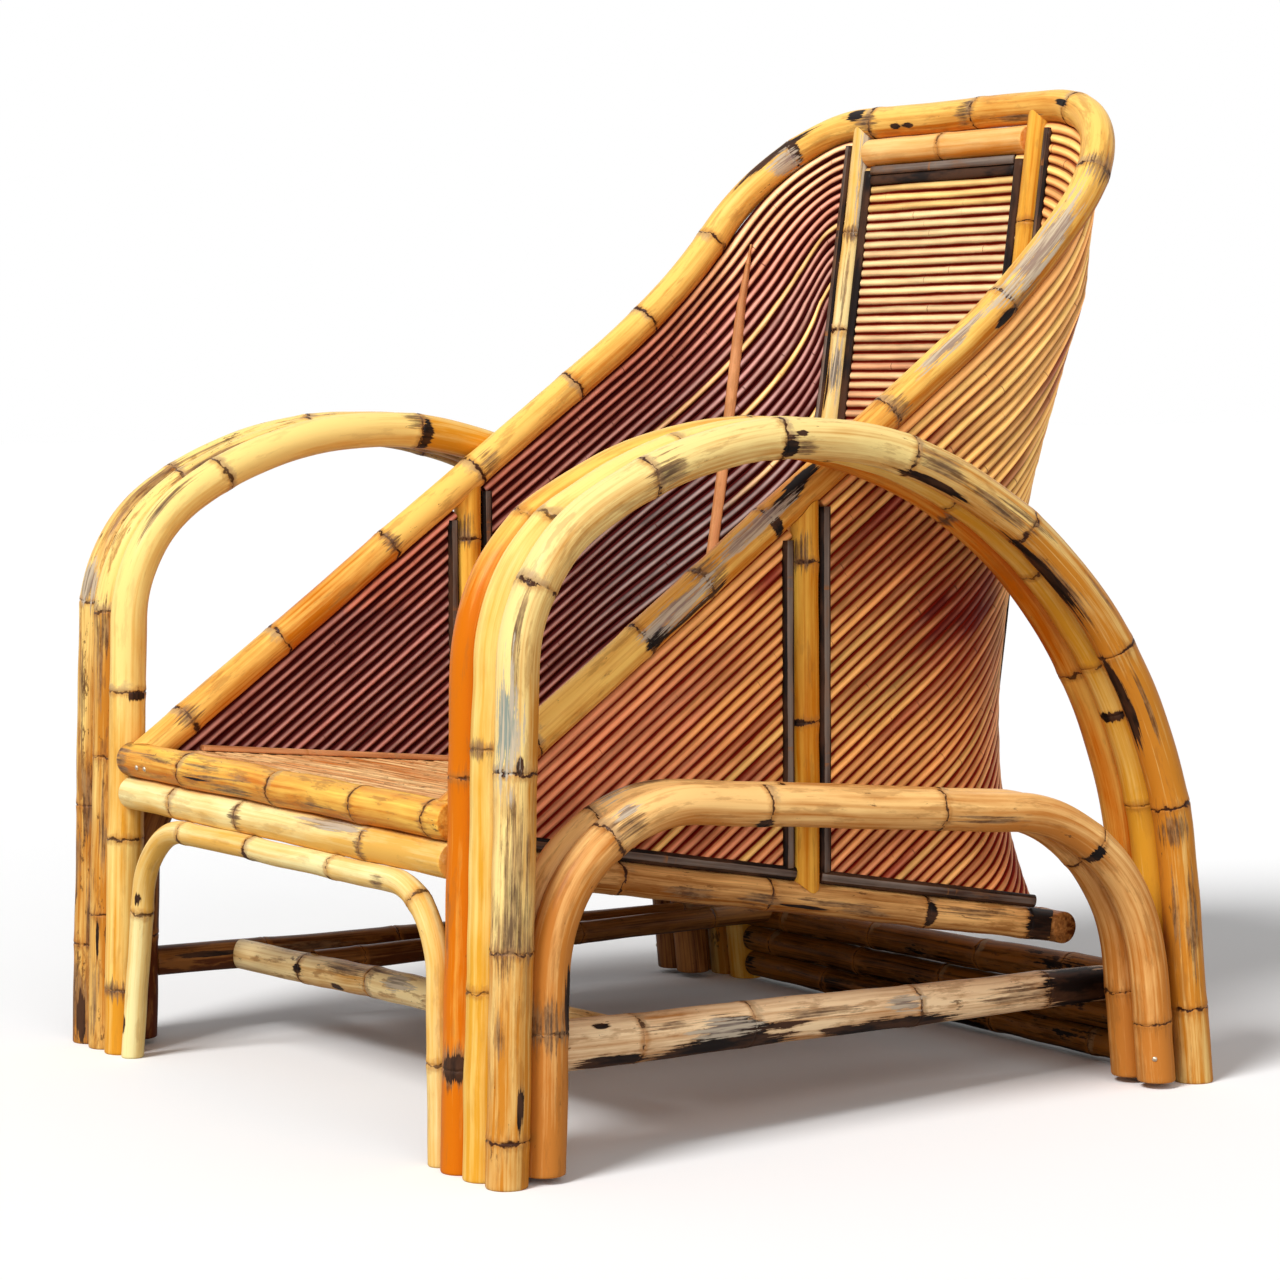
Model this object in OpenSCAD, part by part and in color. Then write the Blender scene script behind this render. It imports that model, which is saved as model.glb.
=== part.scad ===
/* [Arms] */
// Diameter of the bent poles of the arms
arm_pole_d = 36; // [30:0.5:40]
// Distance between the axes of the two inner arm poles
arm_span = 652; // [600:1:700]
// Number of poles side by side in each arm
arm_poles = 3; // [3:1:3]
// Length of the straight front leg of an arm, up to its bend
arm_leg = 429; // [400:1:460]
// How far the front leg leans back, in degrees
arm_leg_lean = 2; // [0:0.5:4]
// Bend radius of the front corner of an arm
arm_corner_r = 152; // [130:1:170]
// Turn of the front corner, in degrees
arm_corner_turn = 56; // [52:1:60]
// Bend radius of the crown of an arm
arm_crown_r = 403; // [380:1:430]
// Turn of the crown, in degrees
arm_crown_turn = 51; // [48:1:54]
// Bend radius of the long sweep down to the rear foot
arm_sweep_r = 464; // [440:1:490]
// Turn of the long sweep, in degrees
arm_sweep_turn = 65; // [62:1:68]

/* [Side hoops] */
// Number of poles side by side in each side hoop
side_poles = 2; // [2:1:2]
// Height at which the side hoop's front leg starts to bend
side_leg = 172; // [150:1:190]
// Bend radius of the side hoop's front corner
side_front_r = 138; // [120:1:150]
// Fall of the side hoop's top towards the rear, in degrees
side_fall = 5.4; // [3:0.2:8]
// Bend radius of the side hoop's rear corner
side_rear_r = 176; // [150:1:190]
// Gap under the feet of the side hoops
side_foot_gap = 6; // [2:1:10]

/* [Stretchers] */
// Diameter of the left side stretcher at its thick front end
left_stretcher_front_d = 44; // [34:1:46]
// Diameter of the left side stretcher at its rear end
left_stretcher_rear_d = 34; // [26:1:36]
// Diameter of the right side stretcher
right_stretcher_d = 30; // [26:1:34]
// Height of the left side stretcher at the front
left_stretcher_z = 106; // [95:1:115]
// Height of the right side stretcher at the front
right_stretcher_z = 80; // [72:1:95]
// Diameter of the front cross stretcher
cross_stretcher_d = 30; // [26:1:34]
// Distance of the front cross stretcher behind the front legs
cross_stretcher_y = 150; // [120:1:200]
// Diameter of the long brace between the cross stretchers
brace_d = 23; // [18:1:26]
// Distance of the brace's front end from the chair's middle
brace_x = 203; // [120:1:240]
// Distance of the brace's rear end from the chair's middle
brace_rear_x = 262; // [150:1:265]
// Diameter of the three rear stretchers
rear_stretcher_d = 28; // [24:1:29]
// Height of the lowest rear stretcher's axis
rear_stretcher_z = 18; // [15:1:24]
// Rise of the topmost rear stretcher towards the left
rear_stretcher_rise = 11; // [0:1:14]

/* [Front] */
// Diameter of the seat's front rail
front_rail_d = 34; // [30:1:38]
// Height of the front rail's axis
front_rail_z = 294; // [280:1:310]
// Distance of the front rail's axis behind the front feet
front_rail_y = 7; // [4:0.5:12]
// Diameter of the rail under the front rail
under_rail_d = 32; // [28:1:36]
// Diameter of the thin front hoop
front_hoop_d = 22; // [18:1:26]
// Bend radius of the front hoop's left corner
front_hoop_r = 72; // [60:1:100]
// Bend radius of the front hoop's right corner
front_hoop_right_r = 95; // [70:1:110]
// How far the front hoop's right leg leans inwards, in degrees
front_hoop_lean = 10; // [0:0.5:12]

/* [Seat] */
// Thickness of the seat mat
mat_t = 6; // [4:0.5:8]
// Fall of the seat towards the back, in degrees
seat_fall = 5.8; // [3:0.2:8]
// Step from the top of the front rail down to the mat
mat_step = 6; // [4:0.5:12]
// Diameter of the ledgers and bearers under the mat
bearer_d = 24; // [18:1:26]
// Number of bearers across the seat
bearer_count = 4; // [4:1:4]
// Width of the half-round strip along each side of the seat
edge_strip_w = 11; // [8:1:14]

/* [Shell] */
// Diameter of the rim pole
rim_d = 33; // [28:1:36]
// Slope of the shell's sides, in degrees
rim_slope = 35.5; // [34:0.5:37]
// Length of the rim's straight side
rim_side = 679; // [660:1:700]
// Slope of the rim where it turns into the back, in degrees
rim_rise_angle = 50; // [47:0.5:53]
// Bend radius of the rim's upward curve
rim_rise_r = 780; // [740:1:820]
// Bend radius of the rim's top corners
rim_corner_r = 140; // [125:1:150]
// Diameter of the shell's lower rails
shell_rail_d = 30; // [26:1:32]
// Fall of the shell's side rails towards the rear, in degrees
shell_rail_fall = 10; // [9:0.25:11]
// Distance of the shell's back rail behind the front feet
back_rail_y = 680; // [665:1:690]
// Rake of the back, in degrees
back_rake = 8.1; // [7.5:0.1:8.7]
// Corner radius of the shell at its waist
waist_r = 200; // [180:1:210]
// Height of the waist above the floor
waist_z = 430; // [410:1:450]
// Corner radius of the shell below the top corners
shoulder_r = 99; // [90:1:110]
// Height at which the shell reaches its shoulder radius
shoulder_z = 742; // [725:1:760]
// Corner radius of the shell at its foot
foot_r = 35; // [25:1:50]
// Diameter of the posts at the middle of the sides
side_post_d = 28; // [22:1:29]
// Distance of the side posts behind the front feet
side_post_y = 385; // [360:1:410]
// Diameter of the two back posts
back_post_d = 26; // [22:1:28]
// Distance of each back post from the chair's middle
back_post_x = 142; // [125:1:155]
// Diameter of the crossbar between the back posts
crossbar_d = 22; // [18:1:24]
// Distance of the crossbar's axis below the axis of the rim
crossbar_drop = 35; // [30:1:45]

/* [Reeds] */
// Diameter of a reed
reed_d = 9.4; // [7:0.2:10.4]
// Gap between neighbouring reeds
reed_gap = 0.4; // [0.2:0.1:0.6]
// Share of its thickness that a reed loses towards the foot of the corner
reed_taper = 0.16; // [0:0.01:0.2]
// Height below which the reeds start to thin
reed_taper_top = 300; // [260:5:340]
// Thickness of the dark beads that cover the reeds' ends
bead_d = 8; // [6:0.5:9]
// Width of the pointed strips in the shell's corners
corner_strip_w = 12; // [8:1:16]
// Thickness of the pointed strips
corner_strip_t = 4; // [3:0.5:6]

/* [Hidden] */
$fn = 48;
// Clearance between pieces that meet side by side
fit = 0.3;
SIDES = [1, -1];

// Growth rings of the cane, where a bent pole's runs meet
ring_w = 6;
ring_proud = 0.12;

// Places of the arm poles
pole_r = arm_pole_d / 2;
pole_pitch = arm_pole_d + fit;
arm_x = arm_span / 2;
arm_inner_face = arm_x - pole_r;

function sum_turns(segs, i) = i <= 0 ? 0 : sum_turns(segs, i - 1) + segs[i - 1][1];
function heading_at(h0, segs, i) = h0 + sum_turns(segs, i);
function turn_centre(p, h, s) = p + sign(s[1]) * s[0] * [-sin(h), cos(h)];
function after(p, h, s) =
    s[1] == 0 ? p + s[0] * [cos(h), sin(h)]
              : turn_centre(p, h, s) + sign(s[1]) * s[0] * [sin(h + s[1]), -cos(h + s[1])];
function place_at(p0, h0, segs, i) =
    i <= 0 ? p0 : after(place_at(p0, h0, segs, i - 1), heading_at(h0, segs, i - 1), segs[i - 1]);

// A bent pole is a list of runs: [length, 0] is straight, [radius, turn] is an arc
arm_heading = 90 - arm_leg_lean;
arm_bends = [[arm_leg, 0], [arm_corner_r, -arm_corner_turn], [arm_crown_r, -arm_crown_turn],
             [arm_sweep_r, -arm_sweep_turn]];
arm_foot_heading = heading_at(arm_heading, arm_bends, 4);
arm_sweep_end = place_at([0, 0], arm_heading, arm_bends, 4);
foot_spare = 12;
arm_foot_len = arm_sweep_end[1] / -sin(arm_foot_heading) + foot_spare;
arm_path = concat(arm_bends, [[arm_foot_len, 0]]);
arm_start = -foot_spare * [cos(arm_heading), sin(arm_heading)];
arm_runs = concat([[arm_leg + foot_spare, 0]], [for (i = [1:4]) arm_path[i]]);

function rear_leg_y(z) = arm_sweep_end[0] + (arm_sweep_end[1] - z) / tan(-arm_foot_heading);
function front_leg_y(z) = z * tan(arm_leg_lean);

// The side hoop nests inside the arm, one pole away from both of its legs
side_start = [pole_pitch / cos(arm_leg_lean), 0];
side_front_bend = place_at(side_start, arm_heading, [[side_leg, 0]], 1);
side_front_turn = arm_heading + side_fall;
side_top_start = place_at(side_start, arm_heading, [[side_leg, 0], [side_front_r, -side_front_turn]], 2);
side_rear_turn = -arm_foot_heading - side_fall;
side_rear_leg_y = rear_leg_y(0) - pole_pitch / sin(-arm_foot_heading);
// Rear leg line and the bend that is tangent to it and to the sloping top
function side_rear_gap(top_len) =
    let (runs = [[side_leg, 0], [side_front_r, -side_front_turn], [top_len, 0],
                 [side_rear_r, -side_rear_turn]],
         q = place_at(side_start, arm_heading, runs, 4))
    side_rear_leg_y + q[1] / tan(arm_foot_heading) - q[0];
side_top_guess = 300;
side_gap_0 = side_rear_gap(0);
side_gap_1 = side_rear_gap(side_top_guess);
side_top_len = side_top_guess * side_gap_0 / (side_gap_0 - side_gap_1);
side_bends = [[side_leg, 0], [side_front_r, -side_front_turn], [side_top_len, 0],
              [side_rear_r, -side_rear_turn]];
side_rear_end = place_at(side_start, arm_heading, side_bends, 4);
side_runs = concat(side_bends, [[side_rear_end[1] / -sin(arm_foot_heading) + foot_spare, 0]]);

// Rear stretchers lie between the inner arm poles, on the line of the rear legs
rear_r = rear_stretcher_d / 2;
rear_pitch = rear_stretcher_d + fit;
rear_half = arm_inner_face - fit;
function rear_axis(i, x) =
    let (z = rear_stretcher_z + i * rear_pitch
             + (i == 2 ? rear_stretcher_rise * (x + rear_half) / (2 * rear_half) : 0))
    [x, rear_leg_y(z), z];

// Side stretchers run from the side hoop's front leg to the topmost rear stretcher
stretcher_y = side_start[0] + pole_r + fit;
stretcher_x = arm_x + pole_pitch + 8;
stretcher_rear_x = arm_inner_face - 18;
// How far a stretcher's end stops before the axis of the pole it is saddled on
seat_depth = 6;
left_front = [stretcher_x, stretcher_y + front_leg_y(left_stretcher_z), left_stretcher_z];
left_rear = rear_axis(2, stretcher_rear_x) + [0, -seat_depth, -5];
right_front = [-stretcher_x, stretcher_y + front_leg_y(right_stretcher_z), right_stretcher_z];
right_rear = rear_axis(2, -stretcher_rear_x) + [0, -seat_depth, 5];
function along(a, b, y) = a + (b - a) * (y - a[1]) / (b[1] - a[1]);
cross_left = along(left_front, left_rear, cross_stretcher_y);
cross_right = along(right_front, right_rear, cross_stretcher_y);
cross_r = cross_stretcher_d / 2;
brace_r = brace_d / 2;
brace_front = let (c = along_x(cross_right, cross_left, -brace_x)) c + [0, 0, cross_r * 0.5];
brace_rear = rear_axis(2, -brace_rear_x) + [0, 0, rear_r * 0.5];
function along_x(a, b, x) = a + (b - a) * (x - a[0]) / (b[0] - a[0]);

// Front rails, one on the other, with the hoop against the lower one
front_r = front_rail_d / 2;
under_r = under_rail_d / 2;
under_rail_z = front_rail_z - front_r - under_r - fit;
hoop_r = front_hoop_d / 2;
hoop_top_z = under_rail_z - under_r - hoop_r - fit;
hoop_foot_x = arm_inner_face - hoop_r - fit;

// The rim starts on the front rail and climbs along the side
rim_r = rim_d / 2;
rim_x = arm_inner_face - rim_r - fit;
rim_start = [front_rail_y, front_rail_z];
rim_bend = place_at(rim_start, rim_slope, [[rim_side, 0]], 1);
rim_bend_turn = rim_rise_angle - rim_slope;
rim_corner = place_at(rim_start, rim_slope, [[rim_side, 0], [rim_rise_r, rim_bend_turn]], 2);
rim_top_y = rim_corner[0] + rim_corner_r * cos(rim_rise_angle);
rim_top_z = rim_corner[1] + rim_corner_r * sin(rim_rise_angle);
rim_top_half = rim_x - rim_corner_r;
rim_bend_len = rim_rise_r * rim_bend_turn * PI / 180;
rim_corner_len = rim_corner_r * PI / 2;
rim_half_len = rim_side + rim_bend_len + rim_corner_len + rim_top_half;

// Height of the rim's straight side and of the side rails at a distance from the front
function rim_z(y) = rim_start[1] + (y - rim_start[0]) * tan(rim_slope);
rail_r = shell_rail_d / 2;
function side_rail_z(y) = under_rail_z - (y - front_rail_y) * tan(shell_rail_fall);
back_rail_z = side_rail_z(back_rail_y);

// Middle surface of the reeds: raked back, upright sides, corners drawn in at the waist
post_top = crossbar_drop / 2;
back_y0 = rim_top_y - 3;
function back_y(z) = back_y0 - (rim_top_z - z) * tan(back_rake);
function corner_r(z) =
    z >= waist_z
    ? waist_r - (waist_r - shoulder_r) * pow(min(1, (z - waist_z) / (shoulder_z - waist_z)), 1.5)
    : waist_r - (waist_r - foot_r) * pow(min(1, (waist_z - z) / (waist_z - back_rail_z)), 2.5);

// A point of that surface, s along the wall from the front and z up
function arc_start(z) = back_y(z) - corner_r(z);
function arc_end(z) = arc_start(z) + corner_r(z) * PI / 2;
function turn_at(s, z) = min(90, max(0, (s - arc_start(z)) / corner_r(z) * 180 / PI));
function wall_point(s, z) =
    let (r = corner_r(z), a = turn_at(s, z), cx = rim_x - r, cy = arc_start(z))
    s <= cy ? [rim_x, s, z]
    : s >= arc_end(z) ? [cx - (s - arc_end(z)), cy + r, z]
    : [cx + r * cos(a), cy + r * sin(a), z];
function wall_normal(s, z) =
    let (a = turn_at(s, z)) unit([cos(a), sin(a), -sin(a) * tan(back_rake)]);
function unit(v) = v / norm(v);
// Wall length at which a point of the surface lies
function wall_s(p) =
    let (r = corner_r(p[2]), cx = rim_x - r, cy = arc_start(p[2]))
    p[1] <= cy ? p[1]
    : p[0] <= cx ? arc_end(p[2]) + cx - p[0]
    : cy + r * atan2(p[1] - cy, p[0] - cx) * PI / 180;

// The rim's axis in space, at a length t from its start
function rim_point(t) =
    t <= rim_side
    ? [rim_x, rim_start[0] + t * cos(rim_slope), rim_start[1] + t * sin(rim_slope)]
    : t <= rim_side + rim_bend_len
    ? let (a = rim_slope + (t - rim_side) / rim_rise_r * 180 / PI)
      [rim_x, rim_bend[0] + rim_rise_r * (sin(a) - sin(rim_slope)),
       rim_bend[1] + rim_rise_r * (cos(rim_slope) - cos(a))]
    : t <= rim_side + rim_bend_len + rim_corner_len
    ? let (a = (t - rim_side - rim_bend_len) / rim_corner_r * 180 / PI,
           v = rim_corner_r * sin(a))
      [rim_x - rim_corner_r * (1 - cos(a)), rim_corner[0] + v * cos(rim_rise_angle),
       rim_corner[1] + v * sin(rim_rise_angle)]
    : [rim_top_half - (t - rim_side - rim_bend_len - rim_corner_len), rim_top_y, rim_top_z];
function rim_on_wall(t) = let (p = rim_point(t)) [wall_s(p), p[2]];
function rim_heading(t) =
    let (a = rim_on_wall(t - 4), b = rim_on_wall(t + 4)) atan2(b[1] - a[1], b[0] - a[0]);

// Reeds lie side by side under the rim, each a copy of its line moved square to it
reed_r = reed_d / 2;
reed_pitch = reed_d + reed_gap;
first_reed = rim_r + fit + reed_r;
function reed_point(k, t) =
    let (d = first_reed + k * reed_pitch, p = rim_on_wall(t), h = t < 0 ? rim_slope : rim_heading(t))
    t < 0 ? [p[0], p[1]] : p + d * [sin(h), -cos(h)];
post_gap = side_post_d / 2 + fit;
field_start = side_post_y + post_gap + reed_r * sin(rim_slope);
function field_end(z) = arc_end(z) + rim_x - corner_r(z) - back_post_x - back_post_d / 2 - fit;
function field_floor(s) =
    side_rail_z(min(s, back_rail_y - rail_r)) + (rail_r + fit) / cos(shell_rail_fall) + reed_r * 0.7;

// The reeds crowd together at the foot of the corner, so they are laid with their thin ends down
function reed_share(z) =
    1 - reed_taper * min(1, max(0, (reed_taper_top - z) / (reed_taper_top - back_rail_z - rail_r)));

// Stations of one reed of the wrapped field, cut where it meets the post or the rails
station = 36;
function reed_line(k) =
    let (h = rim_slope, d = first_reed + k * reed_pitch,
         base = rim_start + d * [sin(h), -cos(h)],
         t_post = (field_start - base[0]) / cos(h),
         t_floor = floor_hit(base, h, 0),
         t0 = max(t_post, t_floor),
         t1 = corner_hit(base, h, t0))
    concat([base + t0 * [cos(h), sin(h)]],
           t1 > t0 + station / 3 && t1 < rim_side - station / 2 ? [base + t1 * [cos(h), sin(h)]] : [],
           t1 < rim_side
           ? [for (t = [t1 + station:station:rim_side - station / 2]) base + t * [cos(h), sin(h)]] : [],
           [for (t = [rim_side:station:rim_half_len]) if (t > t0 + station / 2) reed_point(k, t)]);
// Length along a straight reed at which the wall starts to turn
function corner_hit(base, h, t) =
    base[0] + t * cos(h) >= arc_start(base[1] + t * sin(h)) || t > rim_side
    ? t : corner_hit(base, h, t + 3);
// Length along a straight reed at which it leaves the lower rails
function floor_hit(base, h, t) =
    let (s = base[0] + t * cos(h), z = base[1] + t * sin(h))
    z >= field_floor(s) || t > rim_half_len ? t : floor_hit(base, h, t + 0.5);
function past_end(p) = p[0] > field_end(p[1]);
function first_past(line, i) = i >= len(line) ? i : past_end(line[i]) ? i : first_past(line, i + 1);
function crossing(a, b, lo, hi, n) =
    let (m = (lo + hi) / 2, p = a + (b - a) * m)
    n == 0 ? a + (b - a) * lo : past_end(p) ? crossing(a, b, lo, m, n - 1) : crossing(a, b, m, hi, n - 1);
function trimmed(line) =
    let (i = first_past(line, 0))
    i == 0 ? [] : i >= len(line) ? line
    : concat([for (j = [0:i - 1]) line[j]], [crossing(line[i - 1], line[i], 0, 1, 12)]);
field_reeds = floor(((back_y(back_rail_z) + foot_r - rim_start[0]) * sin(rim_slope)
                     + (rim_start[1] - back_rail_z) * cos(rim_slope) - first_reed) / reed_pitch);

// Back panel: reeds across between the back posts
post_dir = [0, sin(back_rake), cos(back_rake)];
back_out = [0, cos(back_rake), -sin(back_rake)];
function back_point(x, z) = [x, back_y(z), z];
crossbar_z = rim_top_z - crossbar_drop;
post_inner = back_post_x - back_post_d / 2 - fit;
panel_top = crossbar_z - crossbar_d / 2 - fit - reed_r;
panel_bottom = back_rail_z + rail_r + fit + reed_r;
panel_reeds = floor((panel_top - panel_bottom) / cos(back_rake) / reed_pitch);

// Seat: a mat that falls to the back, on ledgers and bearers inside the shell
wall_inner = rim_x - reed_r;
mat_front = front_rail_y + front_r + fit;
mat_top_front = front_rail_z + front_r - mat_step;
function mat_top(y) = mat_top_front - (y - mat_front) * tan(seat_fall);
mat_back_z = mat_top(back_rail_y);
mat_back = back_y(mat_back_z - mat_t) - back_post_d / 2 - fit - 1;
mat_half = wall_inner - fit;
mat_corner = corner_r(mat_back_z) - reed_r + 12;
// The mat is notched round the side posts and round the lower ends of the rim
notch_x = rim_x - side_post_d / 2 - fit;
post_notch = side_post_d / 2 + bead_d + 3 * fit;
rim_notch_x = rim_x - rim_r - fit;
rim_clear_y = front_rail_y + (mat_top_front - front_rail_z + (rim_r + fit) / cos(rim_slope)) / tan(rim_slope);
bearer_r = bearer_d / 2;
function bearer_z(y) = mat_top(y) - (mat_t + bearer_r + fit) / cos(seat_fall);
ledger_x = notch_x - bearer_r;
ledger_end = arc_start(mat_back_z) + 20;
bearer_half = ledger_x - bearer_r - fit;
bearer_first = 110;
bearer_last = mat_back - bearer_r - 4;
rear_bearer_half = back_post_x + 14;
strip_r = edge_strip_w / 2;

// Beads: half-round strips on the reeds' ends, outside and inside the shell
bead_r = bead_d / 2;
bead_off = reed_r + fit;
bead_gap = 0.9;

front_y = -pole_r;
rear_y = rim_top_y + rim_r;
mid_y = (front_y + rear_y) / 2;

TAN = "#d8a650";
CREAM = "#ecd08a";
ORANGE = "#c9781f";
BROWN = "#9c6a34";
DARK = "#3a2a22";
REED = "#b5714a";
MAROON = "#6e3430";

// Puts the chair's own measuring point, the front feet, at its place behind the origin
module placed() {
    translate([0, -mid_y, 0]) children();
}

module mirrored(side) {
    if (side > 0) children();
    else mirror([1, 0, 0]) children();
}

// A straight pole between two points, with a radius at each end
module pole(a, b, r1, r2) {
    v = b - a;
    translate(a)
        rotate([0, acos(v[2] / norm(v)), atan2(v[1], v[0])])
            cylinder(h = norm(v), r1 = r1, r2 = r2);
}

// A bent pole in the XY plane, from its list of runs, with a growth ring where two runs meet
module bent_pole(start, heading, runs, r) {
    for (i = [0:len(runs) - 1]) {
        p = place_at(start, heading, runs, i);
        h = heading_at(heading, runs, i);
        if (i > 0) growth_ring(p, h, r);
        if (runs[i][1] == 0)
            translate(p) rotate([0, 90, h]) cylinder(h = runs[i][0], r = r);
        else {
            c = turn_centre(p, h, runs[i]);
            first = runs[i][1] > 0 ? h - 90 : h + 90 + runs[i][1];
            translate(c) rotate([0, 0, first])
                rotate_extrude(angle = abs(runs[i][1])) translate([runs[i][0], 0]) circle(r = r);
        }
    }
}

module growth_ring(p, h, r) {
    translate(p) rotate([0, 90, h])
        translate([0, 0, -ring_w / 2]) cylinder(h = ring_w, r = r + ring_proud);
}

// Turns the XY plane into the chair's side view at a distance x from its middle
module side_view(x) {
    translate([x, 0, 0]) rotate([90, 0, 90]) children();
}

module below(z) {
    translate([-600, -600, z - 400]) cube([1200, 2400, 400]);
}

module arm_pole(side, k) {
    difference() {
        side_view(side * (arm_x + k * pole_pitch)) bent_pole(arm_start, arm_heading, arm_runs, pole_r);
        below(0);
    }
}

module side_hoop(side, k) {
    difference() {
        side_view(side * (arm_x + (k + arm_poles - side_poles) * pole_pitch))
            bent_pole(side_start, arm_heading, side_runs, pole_r);
        below(side_foot_gap);
    }
}

module left_stretcher_body(grow) {
    pole(left_front, left_rear, left_stretcher_front_d / 2 + grow, left_stretcher_rear_d / 2 + grow);
}

module right_stretcher_body(grow) {
    pole(right_front, right_rear, right_stretcher_d / 2 + grow, right_stretcher_d / 2 + grow);
}

module rear_stretcher(i, grow) {
    pole(rear_axis(i, -rear_half), rear_axis(i, rear_half), rear_r + grow, rear_r + grow);
}

// Cuts a saddle for the two upper rear stretchers into a stretcher that meets them
module on_rear_stretchers() {
    difference() {
        children();
        rear_stretcher(2, fit);
        rear_stretcher(1, fit);
    }
}

module side_stretcher_left() {
    on_rear_stretchers() left_stretcher_body(0);
}

module side_stretcher_right() {
    on_rear_stretchers() right_stretcher_body(0);
}

module cross_body(grow) {
    pole(cross_right, cross_left, cross_r + grow, cross_r + grow);
}

module front_stretcher() {
    difference() {
        cross_body(0);
        left_stretcher_body(fit);
        right_stretcher_body(fit);
    }
}

module brace_stretcher() {
    difference() {
        on_rear_stretchers() pole(brace_front, brace_rear, brace_r, brace_r);
        cross_body(fit);
        right_stretcher_body(fit);
    }
}

// A straight pole across the chair; a copy that cuts others is a little longer
module rail_across(y, z, half, r) {
    translate([-half, y, z]) rotate([0, 90, 0]) cylinder(h = 2 * half, r = r);
}

module front_rail_body(grow) {
    rail_across(front_rail_y, front_rail_z, arm_inner_face - fit + 10 * grow, front_r + grow);
}

module under_rail_body(grow) {
    rail_across(front_rail_y, under_rail_z, arm_inner_face - fit + 10 * grow, under_r + grow);
}

module front_hoop() {
    turn = 90 - front_hoop_lean;
    right_leg = (hoop_top_z - front_hoop_right_r * (1 - cos(turn))) / sin(turn);
    right_end = -hoop_foot_x + right_leg * cos(turn) + front_hoop_right_r * sin(turn);
    top = hoop_foot_x - front_hoop_r - right_end;
    runs = [[right_leg, 0], [front_hoop_right_r, -turn], [top, 0], [front_hoop_r, -90],
            [hoop_top_z - front_hoop_r + foot_spare, 0]];
    difference() {
        translate([0, front_rail_y, 0]) rotate([90, 0, 0])
            bent_pole([-hoop_foot_x, 0], turn, runs, hoop_r);
        below(0);
    }
}

// Plan of the mat: straight sides and back, with the shell's round corners
module mat_plan() {
    difference() {
        union() {
            translate([-mat_half, mat_front]) square([2 * mat_half, mat_back - mat_corner - mat_front]);
            translate([-mat_half + mat_corner, mat_front])
                square([2 * (mat_half - mat_corner), mat_back - mat_front]);
            for (side = SIDES)
                translate([side * (mat_half - mat_corner), mat_back - mat_corner]) circle(r = mat_corner);
        }
        for (side = SIDES) {
            translate([side * notch_x - (side > 0 ? 0 : 50), side_post_y - post_notch])
                square([50, 2 * post_notch]);
            translate([side * rim_notch_x - (side > 0 ? 0 : 50), mat_front - 1])
                square([50, rim_clear_y - mat_front + 1]);
        }
    }
}

module seat_mat() {
    translate([0, mat_front, mat_top_front]) rotate([-seat_fall, 0, 0])
        translate([0, -mat_front, -mat_t]) linear_extrude(height = mat_t) mat_plan();
}

module seat_ledger(side) {
    pole([side * ledger_x, mat_front, bearer_z(mat_front)],
         [side * ledger_x, ledger_end, bearer_z(ledger_end)], bearer_r, bearer_r);
}

module seat_bearer(i) {
    y = i < bearer_count ? bearer_first + (i - 1) * (ledger_end - bearer_first) / (bearer_count - 1) * 0.93
                         : bearer_last;
    rail_across(y, bearer_z(y), i < bearer_count ? bearer_half : rear_bearer_half, bearer_r);
}

// Half-round strips that lie on the mat against the reeds, before and behind the side post
module seat_edge_strip(side) {
    x = side * (wall_inner - fit - strip_r);
    y0 = rim_clear_y + strip_r / tan(rim_slope) + 2;
    for (run = [[y0, side_post_y - post_notch], [side_post_y + post_notch, ledger_end]]) {
        length = (run[1] - run[0]) / cos(seat_fall);
        translate([x, run[0], mat_top(run[0]) + fit]) rotate([-seat_fall, 0, 0])
            intersection() {
                rotate([-90, 0, 0]) cylinder(h = length, r = strip_r);
                translate([-edge_strip_w, -1, 0]) cube([2 * edge_strip_w, length + 2, edge_strip_w]);
            }
    }
}

module rim_side_part(side) {
    side_view(side * rim_x)
        bent_pole(rim_start, rim_slope, [[rim_side, 0], [rim_rise_r, rim_bend_turn]], rim_r);
}

// The rim's top lies in a plane that leans back: one corner, the straight top, the other corner
module rim_top_part() {
    runs = [[rim_corner_r, 90], [2 * rim_top_half, 0], [rim_corner_r, 90]];
    translate([0, rim_corner[0], rim_corner[1]]) rotate([rim_rise_angle, 0, 0]) {
        bent_pole([rim_x, 0], 90, runs, rim_r);
        for (side = SIDES) growth_ring([side * rim_x, 0], 90, rim_r);
    }
}

module rim_pole() {
    difference() {
        union() {
            for (side = SIDES) rim_side_part(side);
            rim_top_part();
        }
        front_rail_body(fit);
    }
}

module rim_straight(side, grow) {
    side_view(side * rim_x) bent_pole(rim_start, rim_slope, [[rim_side, 0]], rim_r + grow);
}

module side_rail_body(side, grow) {
    x = side * rim_x;
    pole([x, front_rail_y, side_rail_z(front_rail_y)], [x, back_rail_y, back_rail_z],
         rail_r + grow, rail_r + grow);
}

module back_rail_body(grow) {
    rail_across(back_rail_y, back_rail_z, arm_inner_face + 10 * grow, rail_r + grow);
}

module shell_side_rail(side) {
    difference() {
        side_rail_body(side, 0);
        under_rail_body(fit);
        back_rail_body(fit);
    }
}

module side_post(side) {
    difference() {
        translate([side * rim_x, side_post_y, side_rail_z(side_post_y)])
            cylinder(h = rim_z(side_post_y) - side_rail_z(side_post_y), r = side_post_d / 2);
        rim_straight(side, fit);
        side_rail_body(side, fit);
    }
}

module back_post_body(side, grow) {
    pole(back_point(side * back_post_x, back_rail_z), back_point(side * back_post_x, rim_top_z),
         back_post_d / 2 + grow, back_post_d / 2 + grow);
}

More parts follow.
